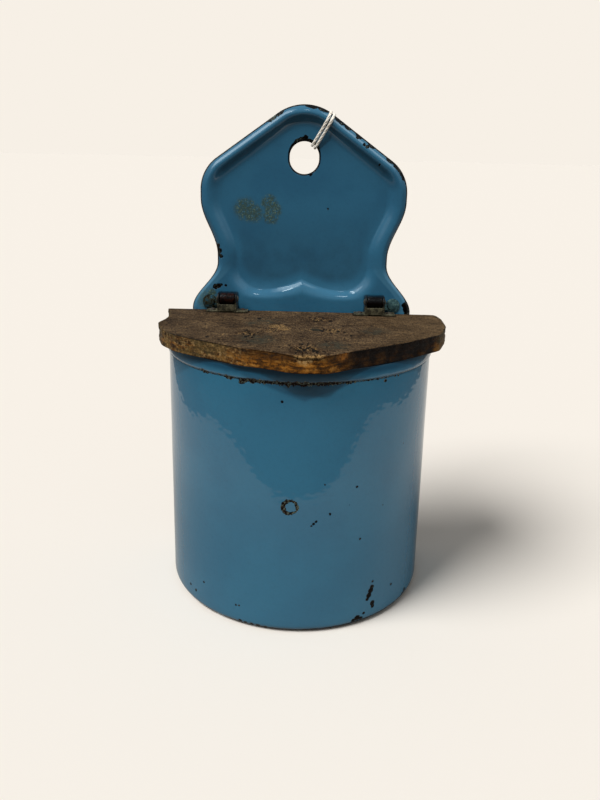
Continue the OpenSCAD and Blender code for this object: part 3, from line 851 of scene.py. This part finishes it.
plateWear = {
    # X, Z and radius of each chip
    "chips": [
        (-46.2, 182.2, 1.4), (-45.5, 179.7, 1.7), (-44.6, 176.8, 1.4), (-47.6, 159.7, 1.6),
        (-46.0, 160.2, 1.5), (-44.4, 160.9, 0.8), (-41.9, 160.4, 0.8), (31.4, 237.0, 1.0),
        (33.0, 235.9, 1.1), (27.8, 240.4, 0.9),
        (39.8, 226.8, 0.7), (13.4, 203.1, 0.6), (57.6, 151.6, 1.9), (58.9, 149.5, 2.4), (59.8, 147.6, 2.6),
        (0.6, 240.2, 1.3), (-1.0, 239.6, 1.0), (3.6, 221.2, 1.0),
    ],
    # X, Z and radius of the places where the edge has worn to the black ground coat
    "edges": [
        (3.5, 256.4, 3.4), (9.5, 254.6, 2.8), (-13, 251.2, 2.2), (-17, 248.6, 2.6), (18.5, 248.6, 3.0),
        (22.5, 245.6, 2.2), (28.5, 241.0, 2.2), (35.5, 236.8, 2.0), (45.5, 229.0, 2.6),
        (49.5, 225.0, 3.4), (52.3, 221.6, 3.2), (-46.9, 179, 2.4), (58.5, 150, 4.0),
    ],
    "stain": [
        (-31.4, 202.2, 6.6), (-27.4, 200.0, 5.6), (-18.6, 206.2, 4.6), (-16.4, 202.0, 5.2),
        (-17.4, 198.6, 4.6),
    ],
    "rivetStain": [(-52.2, 152.8, 7), (-48, 149, 6.5), (-50, 155.5, 4)],
    "panelFront": (17.9, 17.5),  # Y where the stain starts and is full
    "borderFront": (14.5, 14.1),
    "peel": 0.03,
}


def plateEnamel():
    f = Finish("blue_enamel_plate")
    p = f.place()
    x, y, z = f.split(p)
    upright = f.node("ShaderNodeCombineXYZ", {}, {"X": x, "Y": 0.0, "Z": z})  # the point on the wall's plane

    def places(name, vector):
        return f.reach(vector, [(cx, 0, cz, r) for cx, cz, r in plateWear[name]])

    chips = places("chips", f.wander(upright, 1.7, 0.7)).fade(1.0, 0.82)
    worn = places("edges", f.wander(upright, 4, 1.2)).fade(1.3, 0.6)
    rim, gap = f.mark("rim"), f.mark("gap")
    fine = f.grain(p, 1.5, 4, 0.6)
    edge = (rim - 0.4 - worn * (0.35 + fine * 1.5) - fine * 0.45).fade(0.2, -0.1)
    top = z.fade(plateShape["hole"][1] + 1, plateShape["hole"][1] + 9)
    holeRim = (gap - 0.5 - fine * 0.5 - top * (0.7 + f.grain(p, 3, 2).fade(0.45, 0.7) * 0.8)).fade(0.25, -0.1)
    stain = places("stain", f.wander(upright, 3, 1.5)).fade(1.15, 0.6)
    stain = stain * f.grain(p, 1.2, 5, 0.85).fade(0.38, 0.52) * y.fade(*plateWear["panelFront"])
    besideRivet = places("rivetStain", f.wander(upright, 2.5, 0.9)).fade(1.1, 0.5)
    besideRivet = besideRivet * f.grain(p, 2.4, 5, 0.8).fade(0.34, 0.52) * y.fade(*plateWear["borderFront"])
    pinholes = f.cells(p, 11).fade(0.4, 0.3) * f.grain(p, 26, 1).fade(0.52, 0.58)
    # painted shadow round the knuckles
    hinge = hingeShape
    overX = (abs(abs(x) - hinge["x"]) - hinge["knuckleWidth"] / 2 - 0.8).most(0)
    overZ = (z - hinge["pinZ"] - hinge["knuckleRadius"] + 0.9).most(0)
    knuckleShadow = ((overX ** 2 + overZ ** 2) ** 0.5 + f.grain(p, 2.2, 3)).fade(1.9, 0.7)
    knuckleShadow = knuckleShadow * z.fade(hinge["lidTop"] - 4, hinge["lidTop"] + 1)
    bare = chips.most(edge).most(holeRim).most(pinholes)
    rustLine = edge * f.grain(p, 5, 2).fade(0.5, 0.66) * 0.8
    colour = enamelCoat(f, p, enamelColours["plate"], bare, rustLine, plateWear["peel"])
    speckle = f.mix(f.grain(p, 0.8, 3).fade(0.5, 0.72), enamelColours["stain"], enamelColours["paleStain"])
    # painted sheen: a lighter blue near the outer edges of the plate's lower part
    below = rim.fade(9.0, 6.5) * z.fade(176, 162) * z.fade(138, 142)
    # the panel darker towards the bottom: partly dirt, partly painted shade
    dirtAndShade = rim.fade(9.2, 11.8) * z.fade(214, 166) * (0.2 + f.grain(p, 8, 3).fade(0.3, 0.7) * 0.1)
    f.set(Base_Color=f.layers(colour, [
        (stain.most(besideRivet) * 0.92, speckle), (below * (1 - bare) * 0.3, enamelColours["lowSheen"]),
        (dirtAndShade.most(knuckleShadow * 0.8), enamelColours["black"]),
    ]))
    return f.material


makePlate(plateShape, plateEnamel())
print("plate made")


lidShape = {
    "bottom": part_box("lid_board")[0][2] / mm,
    "top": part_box("lid_board")[1][2] / mm,
    "backY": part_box("lid_board")[1][1] / mm,
    "leftX": -75,
    "rightX": 74.5,
    "tubRadius": 70,
    "noseOver": 9.6,
    # degrees from the front, and overhang past the tub's wall as a share of the nose's
    "cuts": [
        (-95, 0.24), (-86, 0.03), (-79, 0.2), (-73, 0.65), (-62, 0.77), (-52, 0.65), (-42, 0.38),
        (-31, 0.19), (-22, 0.35), (-13, 0.38), (-5, 0.68), (-1, 0.93), (4, 0.95), (10, 1), (20, 0.42),
        (31, 0.18), (45.5, 0.26), (55, 0.44), (65, 0.83), (78, 0.81), (92, 0.68),
    ],
    "centre": (0, -22),
    "spacing": 0.9,
    "softening": 9,
    "topRings": 70,
    "bottomRings": 16,
    "sideRows": 14,
    "worn": 0.9,
    "bevelY": 8.2,
    "bevelRise": 1.0,
    "noseX": 3,
    "noseY": -80,
    "noseWidth": 11,
    "noseDepth": 8,
}


def lidOutline(s):
    corners = [(s["leftX"], s["backY"])]
    for degrees, over in s["cuts"]:
        a, r = math.radians(degrees), s["tubRadius"] + over * s["noseOver"]
        corners.append((r * math.sin(a), -r * math.cos(a)))
    corners.append((s["rightX"], s["backY"]))
    points = resample(corners, s["spacing"])
    for _ in range(s["softening"]):
        n = len(points)
        points = [points[i - 1] * 0.25 + points[i] * 0.5 + points[(i + 1) % n] * 0.25 for i in range(n)]
    return points


def lidDetail(s, x, y, z, edge, out):
    # a point of the plain board, moved: edge is its distance from the outline, out points outwards
    p = Vector((x, y, z))
    top = within(z, s["bottom"], s["top"])
    front = within(-y, -6, 24)
    nose = math.exp(-((x - s["noseX"]) / s["noseWidth"]) ** 2 - ((y - s["noseY"]) / s["noseDepth"]) ** 2)
    ragged = 0.5 + 0.9 * noise.noise(p / 5.5) + 0.5 * noise.noise(p / 2.1)
    lower = 0
    if top > 0.99:
        lower += 0.22 * noise.noise(Vector((x / 34, y / 13, 3)))
        lower += 0.12 * noise.noise(Vector((x / 9, y / 2.2, 8)))
        lower += 0.10 * noise.noise(Vector((x / 2.4, y / 1.6, 12)))
        lower += (0.8 + 0.9 * ragged * front) * max(0, 1 - edge / (1.2 + ragged)) ** 2
        lower += 2.4 * nose * (0.7 + 0.5 * ragged) * max(0, 1 - edge / 10)
    inward = 0
    if edge < 0.01:
        layers = 0.5 * noise.noise(Vector((x / 15, y / 15, z / 1.1)))
        inward = 0.3 + 0.45 * ragged * front + layers * 0.5 + 0.25 * noise.noise(p / 1.4)
        inward = max(0, inward) + 1.1 * nose * top ** 2
    return p - Vector((out[0], out[1], 0)) * inward - Vector((0, 0, max(0, lower)))


def makeLid(s, material):
    outline = lidOutline(s)
    n = len(outline)
    centre = Vector(s["centre"])
    outs = []
    for i in range(n):
        along = outline[(i + 1) % n] - outline[i - 1]
        outs.append(Vector((along.y, -along.x)).normalized())
    if sum(o.dot(p - centre) for o, p in zip(outs, outline)) < 0:
        outs = [-o for o in outs]
    bm = bmesh.new()
    side = bm.verts.layers.float.new("side")
    ring = None

    def addRing(share, z, inset, sideValue):
        nonlocal ring
        points = []
        for p, out in zip(outline, outs):
            q = centre.lerp(p - out * inset, share)
            edge = inset + (p - q).length * 0.8 if share < 1 else inset
            points.append(lidDetail(s, q.x, q.y, z, edge, out))
            if z < s["bottom"] + 1.5 and q.y > s["bevelY"]:
                points[-1].z += s["bevelRise"] * (q.y - s["bevelY"]) / (s["backY"] - s["bevelY"])
        ring = startRing(bm, points) if ring is None else extrudeRing(bm, ring, points)
        for vert in ring:
            vert[side] = sideValue

    addRing(1 / s["bottomRings"], s["bottom"], 0, 0)
    bottomStart = list(ring)
    for i in range(2, s["bottomRings"]):
        addRing(i / s["bottomRings"], s["bottom"], 0, 0)
    addRing(1, s["bottom"], s["worn"] / 2, 0.5)
    for i in range(s["sideRows"] + 1):
        t = i / s["sideRows"]
        z = blend(s["bottom"] + s["worn"] / 2, s["top"] - s["worn"] / 2, t)
        addRing(1, z, 0, 1)
    addRing(1, s["top"] - s["worn"] * 0.15, s["worn"] * 0.3, 0.8)
    addRing(1, s["top"], s["worn"], 0.3)
    for i in range(s["topRings"]):
        t = 1 - (i + 0.6) / s["topRings"]
        addRing(t ** 0.85, s["top"], s["worn"], 0)
    middle = sum((v.co for v in ring), Vector()) / n
    bmesh.ops.pointmerge(bm, verts=ring, merge_co=middle)
    capRing(bm, bottomStart)
    finishPiece(bm, "lid", "lid", material, ("lid_board",))


woodColours = {
    "pale": srgb(76, 61, 44),
    "mid": srgb(50, 37, 24),
    "dark": srgb(22, 15, 9),
    "grey": srgb(38, 39, 32),
    "black": srgb(6, 4, 2),
    "brown": srgb(62, 38, 13),
    "orange": srgb(112, 68, 18),
    "tan": srgb(140, 111, 70),
    "olive": srgb(56, 48, 28),
    "knot": srgb(24, 26, 20),
    # the next colour is dark grease on the lid's sides
    "greaseAndShade": srgb(20, 11, 5),
    "amber": srgb(150, 104, 46),
    "topEdge": srgb(30, 19, 9),
    "leftSide": srgb(72, 60, 34),
    "burnt": srgb(9, 4, 2),
    "honey": srgb(140, 88, 36),
}

lidWear = {
    # X, Y, Z and radius of places on the top and along the front
    "freshWood": [(-11, -24, 147, 3.6), (-8, -29.5, 147, 3.4), (-13.7, -25.5, 147, 2.6)],
    "wornNose": [
        (5.6, -78, 146.4, 3.2), (2.8, -78.6, 145.2, 2.6), (0.8, -78, 147, 2.2), (9.5, -76.5, 147, 2.6),
        (4, -79, 143.6, 1.8),
    ],
    "orangeNose": [(22, -75, 146.5, 4.2), (19, -78, 145, 3)],
    "paleStreaks": [(53, -54, 143.5, 3), (45, -60, 142.5, 2.4), (63, -44, 146.5, 3.2)],
    "wormEaten": [
        (-25, -41, 147, 9), (4, -67, 147, 11), (10, -6, 147, 10), (17, -31, 147, 9), (-14, -34, 147, 7),
    ],
    "wormholes": [
        (-21.5, -8.3, 1.0), (-43.3, -49.5, 0.9), (-66.8, -40.9, 0.9), (-25.9, -34, 0.8), (-23.7, -40.7, 0.9),
        (-25.2, -47.6, 0.8), (-22, -48.4, 0.7), (-1.9, -80.4, 1.1), (1.2, -65.6, 0.8), (3.2, -69.2, 1.1),
        (2.1, -59.5, 0.7), (4.7, -66.2, 0.9), (7.5, -69.8, 1.0), (9, -71.5, 0.8), (7.9, -3.5, 0.9),
        (16.1, -9.3, 1.1), (15.4, -30.7, 0.8), (19.5, -32.6, 0.9), (25.5, -40, 0.7), (-47.9, -23.1, 0.7),
        (12.5, -5, 0.6), (22.4, -21.4, 0.6),
    ],
    "knot": [(7.4, -29.2, 147, 2.2), (8.8, -30.2, 147, 2.5), (10.2, -31.2, 147, 2.0)],
    "greyPatches": [
        (-20, -52, 147, 12), (16, -60, 147, 10), (-17, -13, 147, 9), (38, -30, 147, 9), (-24, -20, 147, 6),
    ],
    "holeZ": 147,
}


def oldWood():
    f = Finish("old_wood")
    p = f.place()
    x, y, z = f.split(p)
    tones, wear = woodColours, lidWear
    bent = f.wander(p, 24, 2.0)
    fibres = f.grain(f.stretch(bent, (0.42, 0.8, 1)), 1.0, 5, 0.8)
    streaks = f.grain(f.stretch(bent, (0.07, 1, 1)), 3.0, 4, 0.7)
    crumbs = f.grain(f.stretch(p, (1, 0.5, 1)), 0.8, 4, 0.9)
    blotch = f.grain(p, 13, 4, 0.65)
    wood = f.ramp(fibres * 0.3 + streaks * 0.1 + crumbs * 0.42 + blotch * 0.18, [
        (0.43, tones["dark"]), (0.49, tones["mid"]), (0.55, tones["pale"]), (0.65, tones["tan"]),
    ])
    loose = f.wander(p, 5, 2.2)
    greyed = f.reach(loose, wear["greyPatches"]).fade(1.2, 0.3) * f.grain(p, 4, 4, 0.7).fade(0.38, 0.6)
    fresh = f.reach(loose, wear["freshWood"]).fade(1.4, 0.6) * crumbs.fade(0.46, 0.58)
    # wormholes and rot, with pale crumbs in the rot
    eaten = f.reach(loose, wear["wormEaten"]).fade(1.2, 0.3)
    squeeze = (1, 0.45, 0.1)  # makes the holes long across the grain, and deep
    spots = [(hx, hy * squeeze[1], wear["holeZ"] * squeeze[2], r) for hx, hy, r in wear["wormholes"]]
    holes = f.reach(f.stretch(f.wander(p, 1.5, 0.5), squeeze), spots).fade(1.0, 0.7)
    pits = (f.grain(f.stretch(p, (0.8, 0.36, 1)), 1.1, 3, 0.7) + eaten * 0.09).fade(0.62, 0.665)
    frass = (f.grain(f.stretch(p, (0.9, 0.4, 1), (7, 3, 0)), 1.0, 3, 0.8) * eaten).fade(0.5, 0.6)
    knot = f.reach(f.wander(p, 3, 0.8), wear["knot"]).fade(1.1, 0.7)
    wood = f.layers(wood, [
        (x.fade(20, 60) * 0.05, tones["tan"]), (greyed * 0.75, tones["grey"]), (fresh * 0.8, tones["tan"]),
        (frass * 0.7, tones["tan"]), (eaten * crumbs.fade(0.5, 0.4) * 0.5, tones["brown"]),
        (knot * 0.85, tones["knot"]),
    ])
    # the sides are greasy and darker: olive at the left, orange in the middle, nearly black at the right
    side = f.mark("side")
    bottom, top = lidShape["bottom"], lidShape["top"]
    layer = f.grain(f.stretch(bent, (0.12, 0.12, 1)), 1.5, 3, 0.6)
    cloud = f.grain(p, 6, 3, 0.6)
    greasyAndShaded = f.ramp(layer * 0.42 + cloud * 0.36 + crumbs * 0.22, [
        (0.40, tones["greaseAndShade"]), (0.46, tones["brown"]), (0.52, tones["orange"]), (0.60, tones["amber"]),
    ])
    left = x.fade(-22, -40) * cloud.fade(0.36, 0.52)
    pale = f.grain(p, 1.6, 4, 0.8).fade(0.5, 0.6) * x.fade(-14, -34)
    orange = f.reach(loose, wear["orangeNose"]).fade(1.2, 0.6)
    streak = f.reach(loose, wear["paleStreaks"]).fade(1.1, 0.6)
    burnt = x.fade(12, 27) * x.fade(72, 64) * (1 - streak * 0.7) * (0.88 + cloud.fade(0.6, 0.4) * 0.1)
    burnt = burnt.most(f.grain(p, 4, 3, 0.7).fade(0.56, 0.66) * 0.55)
    greasyAndShaded = f.layers(greasyAndShaded, [
        ((z + cloud * 5 - 2.5).fade(bottom + 2.6, top - 1.4) * 0.7, tones["topEdge"]),
        (f.grain(p, 2.2, 3, 0.7).fade(0.54, 0.64) * 0.6, tones["dark"]),
        (left * 0.75, tones["leftSide"]), (pale * 0.6, tones["tan"]),
        (burnt * (1 - orange), tones["burnt"]), (orange * crumbs.fade(0.4, 0.52) * 0.85, tones["honey"]),
        (x.fade(66, 72) * 0.75, tones["olive"]), (x.fade(-66, -72) * 0.6, tones["black"]),
    ])
    nose = f.reach(loose, wear["wornNose"]).fade(1.2, 0.6)
    nose = nose * f.grain(f.stretch(p, (1, 0.5, 1)), 1.1, 3, 0.8).fade(0.42, 0.5)
    # a crack along the upper front edge, at the left
    crack = side.fade(0.25, 0.5) * side.fade(1.0, 0.85) * z.fade(top - 2, top - 1)
    crack = crack * x.fade(-68, -60) * x.fade(-24, -34) * cloud.fade(0.34, 0.44)
    # painted contact shadow round the leaves
    overX = (abs(abs(x) - hingeShape["x"]) - hingeShape["leafWidth"] / 2).most(0)
    overY = (abs(y - hingeShape["pinY"]) - hingeShape["earRadius"]).most(0)
    leafShadow = (overX + overY + f.grain(p, 1.6, 3)).fade(1.7, 0.7) * 0.8
    # wormholes, pits and the crack, with the painted shadow round the leaves
    dark = holes.most(pits * (1 - side * 0.7)).most(crack).most(leafShadow)
    wood = f.layers(wood, [
        (side.fade(0.2, 0.75), greasyAndShaded), (nose * 0.85, tones["tan"]), (dark * 0.95, tones["black"]),
    ])
    f.set(Base_Color=wood, Roughness=f.mix(side, (0.85,) * 3, (0.5,) * 3), Specular_IOR_Level=0.12)
    f.bump((fibres - 0.5) * 0.5 + (crumbs - 0.5) * 0.35 + (layer - 0.5) * side * 0.6 - dark * 0.8)
    return f.material


makeLid(lidShape, oldWood())
print("lid made")


def roundBar(bm, start, end, radius, soft, sides=40):
    # a cylinder from start to end with rounded rims
    start, end = Vector(start) * mm, Vector(end) * mm
    turn = (end - start).to_track_quat("Z", "Y").to_matrix().to_4x4()
    place = Matrix.Translation((start + end) / 2) @ turn
    made = bmesh.ops.create_cone(
        bm, cap_ends=True, segments=sides, radius1=radius * mm, radius2=radius * mm,
        depth=(end - start).length, matrix=place)
    softenRims(bm, made["verts"], soft)


def softenRims(bm, verts, soft):
    picked = set(verts)
    edges = [e for e in bm.edges if picked.issuperset(e.verts) and e.calc_face_angle(0) > 0.6]
    bmesh.ops.bevel(bm, geom=edges, offset=soft * mm, affect="EDGES", segments=4, profile=0.5, material=-1)


def softBlock(bm, low, high, soft):
    low, high = Vector(low) * mm, Vector(high) * mm
    size = high - low
    place = Matrix.Translation((low + high) / 2) @ Matrix.Diagonal((*size, 1))
    made = bmesh.ops.create_cube(bm, size=1, matrix=place)
    softenRims(bm, made["verts"], soft)


def lowDome(bm, centre, towards, radius, height, rings=7, sides=36):
    # a flat-bottomed dome, from its middle out
    towards = Vector(towards)
    u = towards.orthogonal().normalized()
    v = towards.cross(u)
    rows = []
    for i in range(rings + 1):
        a = math.pi / 2 * i / rings
        middle = Vector(centre) + towards * height * math.sin(a)
        rows.append(circleRound(middle, u, v, radius * max(0.02, math.cos(a)), sides))
    skinRings(bm, rows)


def makeBracket(s, name, side, material):
    bm = bmesh.new()
    x, half = side * s["x"], s["knuckleWidth"] / 2
    y, z, strip = s["pinY"], s["pinZ"], s["strip"]
    roundBar(bm, (x - half, y, z), (x + half, y, z), s["knuckleRadius"], 0.75, 56)
    low = z - s["knuckleRadius"]
    softBlock(bm, (x - half, y, low), (x + half, s["borderY"], low + strip), 0.15)
    eyeX = x + side * s["rivetX"]
    front = s["borderY"] - strip
    roundBar(bm, (eyeX, front, s["rivetZ"]), (eyeX, s["borderY"], s["rivetZ"]), s["eyeRadius"], 0.8, 56)
    ends = sorted((x - side * half, eyeX))
    softBlock(bm, (ends[0], front, low - 2 * strip), (ends[1], s["borderY"], low + strip), 0.15)
    finishPiece(bm, "bracket_" + name, "box", material, ("hinge_bracket_" + name,), 35)


def makeLeaf(s, name, side, material):
    bm = bmesh.new()
    x, y, z, strip = side * s["x"], s["pinY"], s["pinZ"], s["strip"]
    half, ear, top = s["leafWidth"] / 2, s["earRadius"], s["lidTop"]
    softBlock(bm, (x - half, y - ear, top), (x + half, y + ear, top + strip), 0.3)
    softBlock(bm, (x - s["earX"], y - ear, top), (x + s["earX"], y - ear + strip, z - s["bridgeDrop"]), 0.3)
    for start in (-s["earX"] - strip, s["earX"]):
        roundBar(bm, (x + start, y, z), (x + start + strip, y, z), ear, 0.42, 48)
        softBlock(bm, (x + start, y - ear, top), (x + start + strip, y + ear, z), 0.3)
    finishPiece(bm, "leaf_" + name, "lid", material, ("hinge_leaf_" + name,), 35)


def makeRivets(s, material):
    bm = bmesh.new()
    front, back = s["borderY"] - s["strip"], s["borderY"] + plateShape["sheet"]
    for side in (-1, 1):
        x = side * (s["x"] + s["rivetX"])
        for y, towards in ((front, (0, -1, 0)), (back, (0, 1, 0))):
            lowDome(bm, (x, y, s["rivetZ"]), towards, s["rivetRadius"], s["rivetHeight"])
    finishPiece(bm, "rivets", "box", material, ("bracket_rivets",), 50)


def makeNails(s, material):
    bm = bmesh.new()
    for side in (-1, 1):
        for offset in (-s["nailX"], s["nailX"]):
            x = side * s["x"] + offset
            lowDome(bm, (x, s["pinY"], s["lidTop"] + s["strip"]), (0, 0, 1), s["nailRadius"], s["nailHeight"])
    finishPiece(bm, "nails", "lid", material, ("leaf_nails",), 50)


hingeColours = {
    "pale": srgb(58, 54, 44),
    "dark": srgb(34, 30, 26),
    "rust": srgb(72, 42, 22),
    "coat": srgb(6, 4, 4),
    "coatRust": srgb(28, 11, 6),
    "earCoat": srgb(14, 11, 9),
    "leftEye": (srgb(16, 16, 12), srgb(38, 36, 22), srgb(26, 46, 50), srgb(36, 66, 80)),
    "rightEye": (srgb(22, 34, 36), srgb(44, 66, 68), srgb(70, 92, 88)),
    "strip": (srgb(20, 19, 13), srgb(42, 39, 28), srgb(74, 70, 54), srgb(50, 34, 20)),
}


def rustySteel():
    f = Finish("rusty_steel")
    p = f.place()
    broad, fine = f.grain(p, 3.5, 4, 0.65), f.grain(p, 0.7, 4, 0.7)
    rusty = (broad * 0.6 + fine * 0.4).fade(0.54, 0.64)
    colour = f.mix(broad.fade(0.4, 0.65), hingeColours["pale"], hingeColours["dark"])
    colour = f.mix(rusty * 0.85, colour, hingeColours["rust"])
    f.set(Base_Color=colour, Roughness=0.6 + rusty * 0.35 + fine * 0.12, Metallic=0.2)
    f.bump(fine * 0.12 + rusty * 0.1)
    return f.material


def bracketCoat():
    # black ground coat on the knuckles, stained enamel on the eyes: rusty on the left, greenish on the right
    f = Finish("ground_coat")
    p = f.place()
    x = f.axis(p, "X")
    fine, broad = f.grain(p, 0.8, 4, 0.7), f.grain(p, 2.6, 4, 0.7)
    black = f.mix(broad.fade(0.42, 0.6) * x.fade(0, -1), hingeColours["coat"], hingeColours["coatRust"])
    left = f.ramp(broad, list(zip((0.42, 0.5, 0.57, 0.66), hingeColours["leftEye"])))
    right = f.ramp(broad, list(zip((0.36, 0.5, 0.64), hingeColours["rightEye"])))
    eye = abs(x).fade(hingeShape["x"] + 4.1, hingeShape["x"] + 5.4)
    stained = f.mix(x.fade(-1, 1), left, right)
    rough = 0.16 + eye * 0.4 + fine * 0.1
    f.set(Base_Color=f.mix(eye, black, stained), Roughness=rough, Specular_IOR_Level=0.14)
    f.bump(broad * 0.2 + fine * eye * 0.1)
    return f.material


def leafSteel():
    # olive old steel, with black ground coat on the upper part of the ears
    f = Finish("strip_steel")
    p = f.place()
    z = f.axis(p, "Z")
    broad, fine = f.grain(p, 2.4, 4, 0.7), f.grain(p, 0.7, 4, 0.7)
    steel = f.ramp(broad * 0.6 + fine * 0.4, list(zip((0.38, 0.48, 0.58, 0.68), hingeColours["strip"])))
    upper = (z + (broad - 0.5) * 3).fade(hingeShape["pinZ"] - 2.6, hingeShape["pinZ"] - 1.2)
    colour = f.mix(upper, steel, hingeColours["earCoat"])
    f.set(Base_Color=colour, Roughness=0.5 - upper * 0.34, Metallic=0.1, Specular_IOR_Level=0.25)
    f.bump(broad * 0.25 + fine * 0.12)
    return f.material


pinSteel, eyeCoat, stripSteel = rustySteel(), bracketCoat(), leafSteel()
makeNails(hingeShape, pinSteel)
makeRivets(hingeShape, eyeCoat)
for name, side in (("left", -1), ("right", 1)):
    dress("hinge_pin_" + name, pinSteel)
    makeBracket(hingeShape, name, side, eyeCoat)
    makeLeaf(hingeShape, name, side, stripSteel)
print("hinges made")


stringShape = {
    "wallY": 20,
    "holeZ": 229.6,
    # X, distance in front of the wall, height above the middle of the hole
    "route": [
        (12.6, 3.1, 18.4), (12.8, 2.1, 20.1), (13.1, 1.0, 21.7), (13.9, 1.0, 23.7), (14.1, 2.3, 24.1),
        (14.0, 3.3, 23.9), (13.7, 4.3, 23.4), (13.2, 5.8, 22.5), (12.6, 6.9, 21.4), (12.0, 7.2, 20.2),
        (11.4, 7.2, 18.9), (9.2, 6.1, 15.0), (6.9, 4.9, 11.2), (4.8, 3.9, 7.7), (4.2, 3.5, 6.7),
        (4.0, 2.3, 6.4), (4.2, 1.1, 6.7), (5.0, 0.8, 8.0), (7.4, 0.8, 11.3), (10.4, 0.8, 15.4),
        (13.7, 0.8, 19.4), (15.6, 1.0, 22.5), (15.8, 2.3, 22.9), (15.7, 3.3, 22.7), (15.4, 4.3, 22.2),
        (14.9, 5.8, 21.3), (14.3, 6.9, 20.2), (13.7, 7.2, 19.0), (13.1, 7.2, 17.7), (10.8, 6.1, 13.8),
        (8.4, 4.9, 9.8), (6.3, 3.9, 6.4), (5.7, 3.5, 5.4), (5.5, 2.3, 5.1), (5.7, 1.1, 5.4),
        (6.4, 0.8, 6.6), (8.7, 0.8, 9.6), (11.6, 1.1, 13.9), (13.2, 2.4, 16.6), (12.9, 3.1, 18.1),
    ],
    "plies": 3,
    # a flat knot where the ends meet, in the hollow behind the border, and the two tails
    "knot": (12.7, 2.7, 18.2),
    "knotSize": 0.6,
    "knotDepth": 0.85,
    "knotSteps": 36,
    "tails": [
        [(12.2, 2.6, 18.6), (9.6, 2.4, 20.3), (6.6, 2.0, 21.2), (4.2, 1.5, 20.4), (2.9, 1.2, 18.9)],
        [(12.4, 2.6, 17.8), (10.4, 2.3, 18.0), (8.2, 1.9, 17.2), (6.6, 1.3, 15.6)],
    ],
    "plyRadius": 0.5,
    "plyOffset": 0.29,
    "lay": 7.5,  # length of one full twist
    "edgeHeight": 21.5,  # above this the string is pressed flat over the edge
    "edgeBlend": 1.6,
    "overEdge": (-0.58, 0, -0.81),  # from the string towards the plate's edge
    "pressed": 0.35,
    "sink": 0.75,
    "step": 0.32,
    "sides": 8,
}


def smoothPath(points, step):
    points = [Vector(p) for p in points]
    ends = [points[0] * 2 - points[1]] + points + [points[-1] * 2 - points[-2]]
    out = []
    for a, b, c, d in zip(ends, ends[1:], ends[2:], ends[3:]):
        steps = max(1, round((c - b).length / step))
        for i in range(steps):
            t = i / steps
            bend, twist = 2 * a - 5 * b + 4 * c - d, 3 * b - a - 3 * c + d
            out.append(0.5 * (2 * b + (c - a) * t + bend * t * t + twist * t ** 3))
    return out + [points[-1]]


def pathFrames(path):
    frames = []
    spoke = None
    for i, p in enumerate(path):
        ahead = (path[min(i + 1, len(path) - 1)] - path[max(i - 1, 0)]).normalized()
        spoke = ahead.orthogonal() if spoke is None else spoke - ahead * spoke.dot(ahead)
        spoke.normalize()
        frames.append((p, ahead, spoke.copy(), ahead.cross(spoke)))
    return frames


def sweepTube(bm, path, radius, sides):
    skinRings(bm, [circleRound(p, u, v, radius, sides) for p, _, u, v in pathFrames(path)])


def plyPaths(s, path):
    frames = pathFrames(path)
    walked = 0
    plies = [[] for _ in range(s["plies"])]
    for i, (p, _, u, v) in enumerate(frames):
        walked += (p - path[i - 1]).length if i else 0
        over = ease(within(p.z - s["holeZ"], s["edgeHeight"], s["edgeHeight"] + s["edgeBlend"]))
        for k, ply in enumerate(plies):
            a = 2 * math.pi * (walked / s["lay"] + k / s["plies"])
            away = (u * math.cos(a) + v * math.sin(a)) * s["plyOffset"]
            inward = Vector(s["overEdge"])
            flat = away - inward * away.dot(inward) * over * (1 - s["pressed"])
            q = p + flat + inward * s["sink"] * over
            q.y = min(q.y, s["wallY"] - s["plyRadius"] - 0.02)  # it lies flat on the wall
            ply.append(q)
    return plies


def makeString(s, material):
    cx, out, cz = s["knot"]
    size = s["knotSize"]
    knot = []
    for i in range(s["knotSteps"] + 1):
        a = 2 * math.pi * i / s["knotSteps"]
        knot.append((
            cx + size * (math.sin(a) + 2 * math.sin(2 * a)),
            out - s["knotDepth"] * math.sin(3 * a),
            cz + size * (math.cos(a) - 2 * math.cos(2 * a)),
        ))
    bm = bmesh.new()
    for run in (s["route"], knot, *s["tails"]):
        path = smoothPath([(x, s["wallY"] - out, s["holeZ"] + z) for x, out, z in run], s["step"])
        for ply in plyPaths(s, path):
            sweepTube(bm, ply, s["plyRadius"], s["sides"])
    finishPiece(bm, "string", "box", material, ("hanging_string",))


cottonColours = {
    "shade": srgb(176, 166, 150),
    "light": srgb(228, 223, 212),
    "dirt": srgb(150, 128, 100),
}


def cottonString():
    f = Finish("cotton_string")
    p = f.place()
    fibres = f.grain(p, 0.3, 3, 0.7)
    dirt = f.grain(p, 4, 3)
    colour = f.mix(fibres.fade(0.3, 0.6), cottonColours["shade"], cottonColours["light"])
    colour = f.mix(dirt.fade(0.45, 0.7) * 0.4, colour, cottonColours["dirt"])
    f.set(Base_Color=colour, Roughness=0.85)
    f.bump(fibres * 0.25)
    return f.material


makeString(stringShape, cottonString())
print("string made")
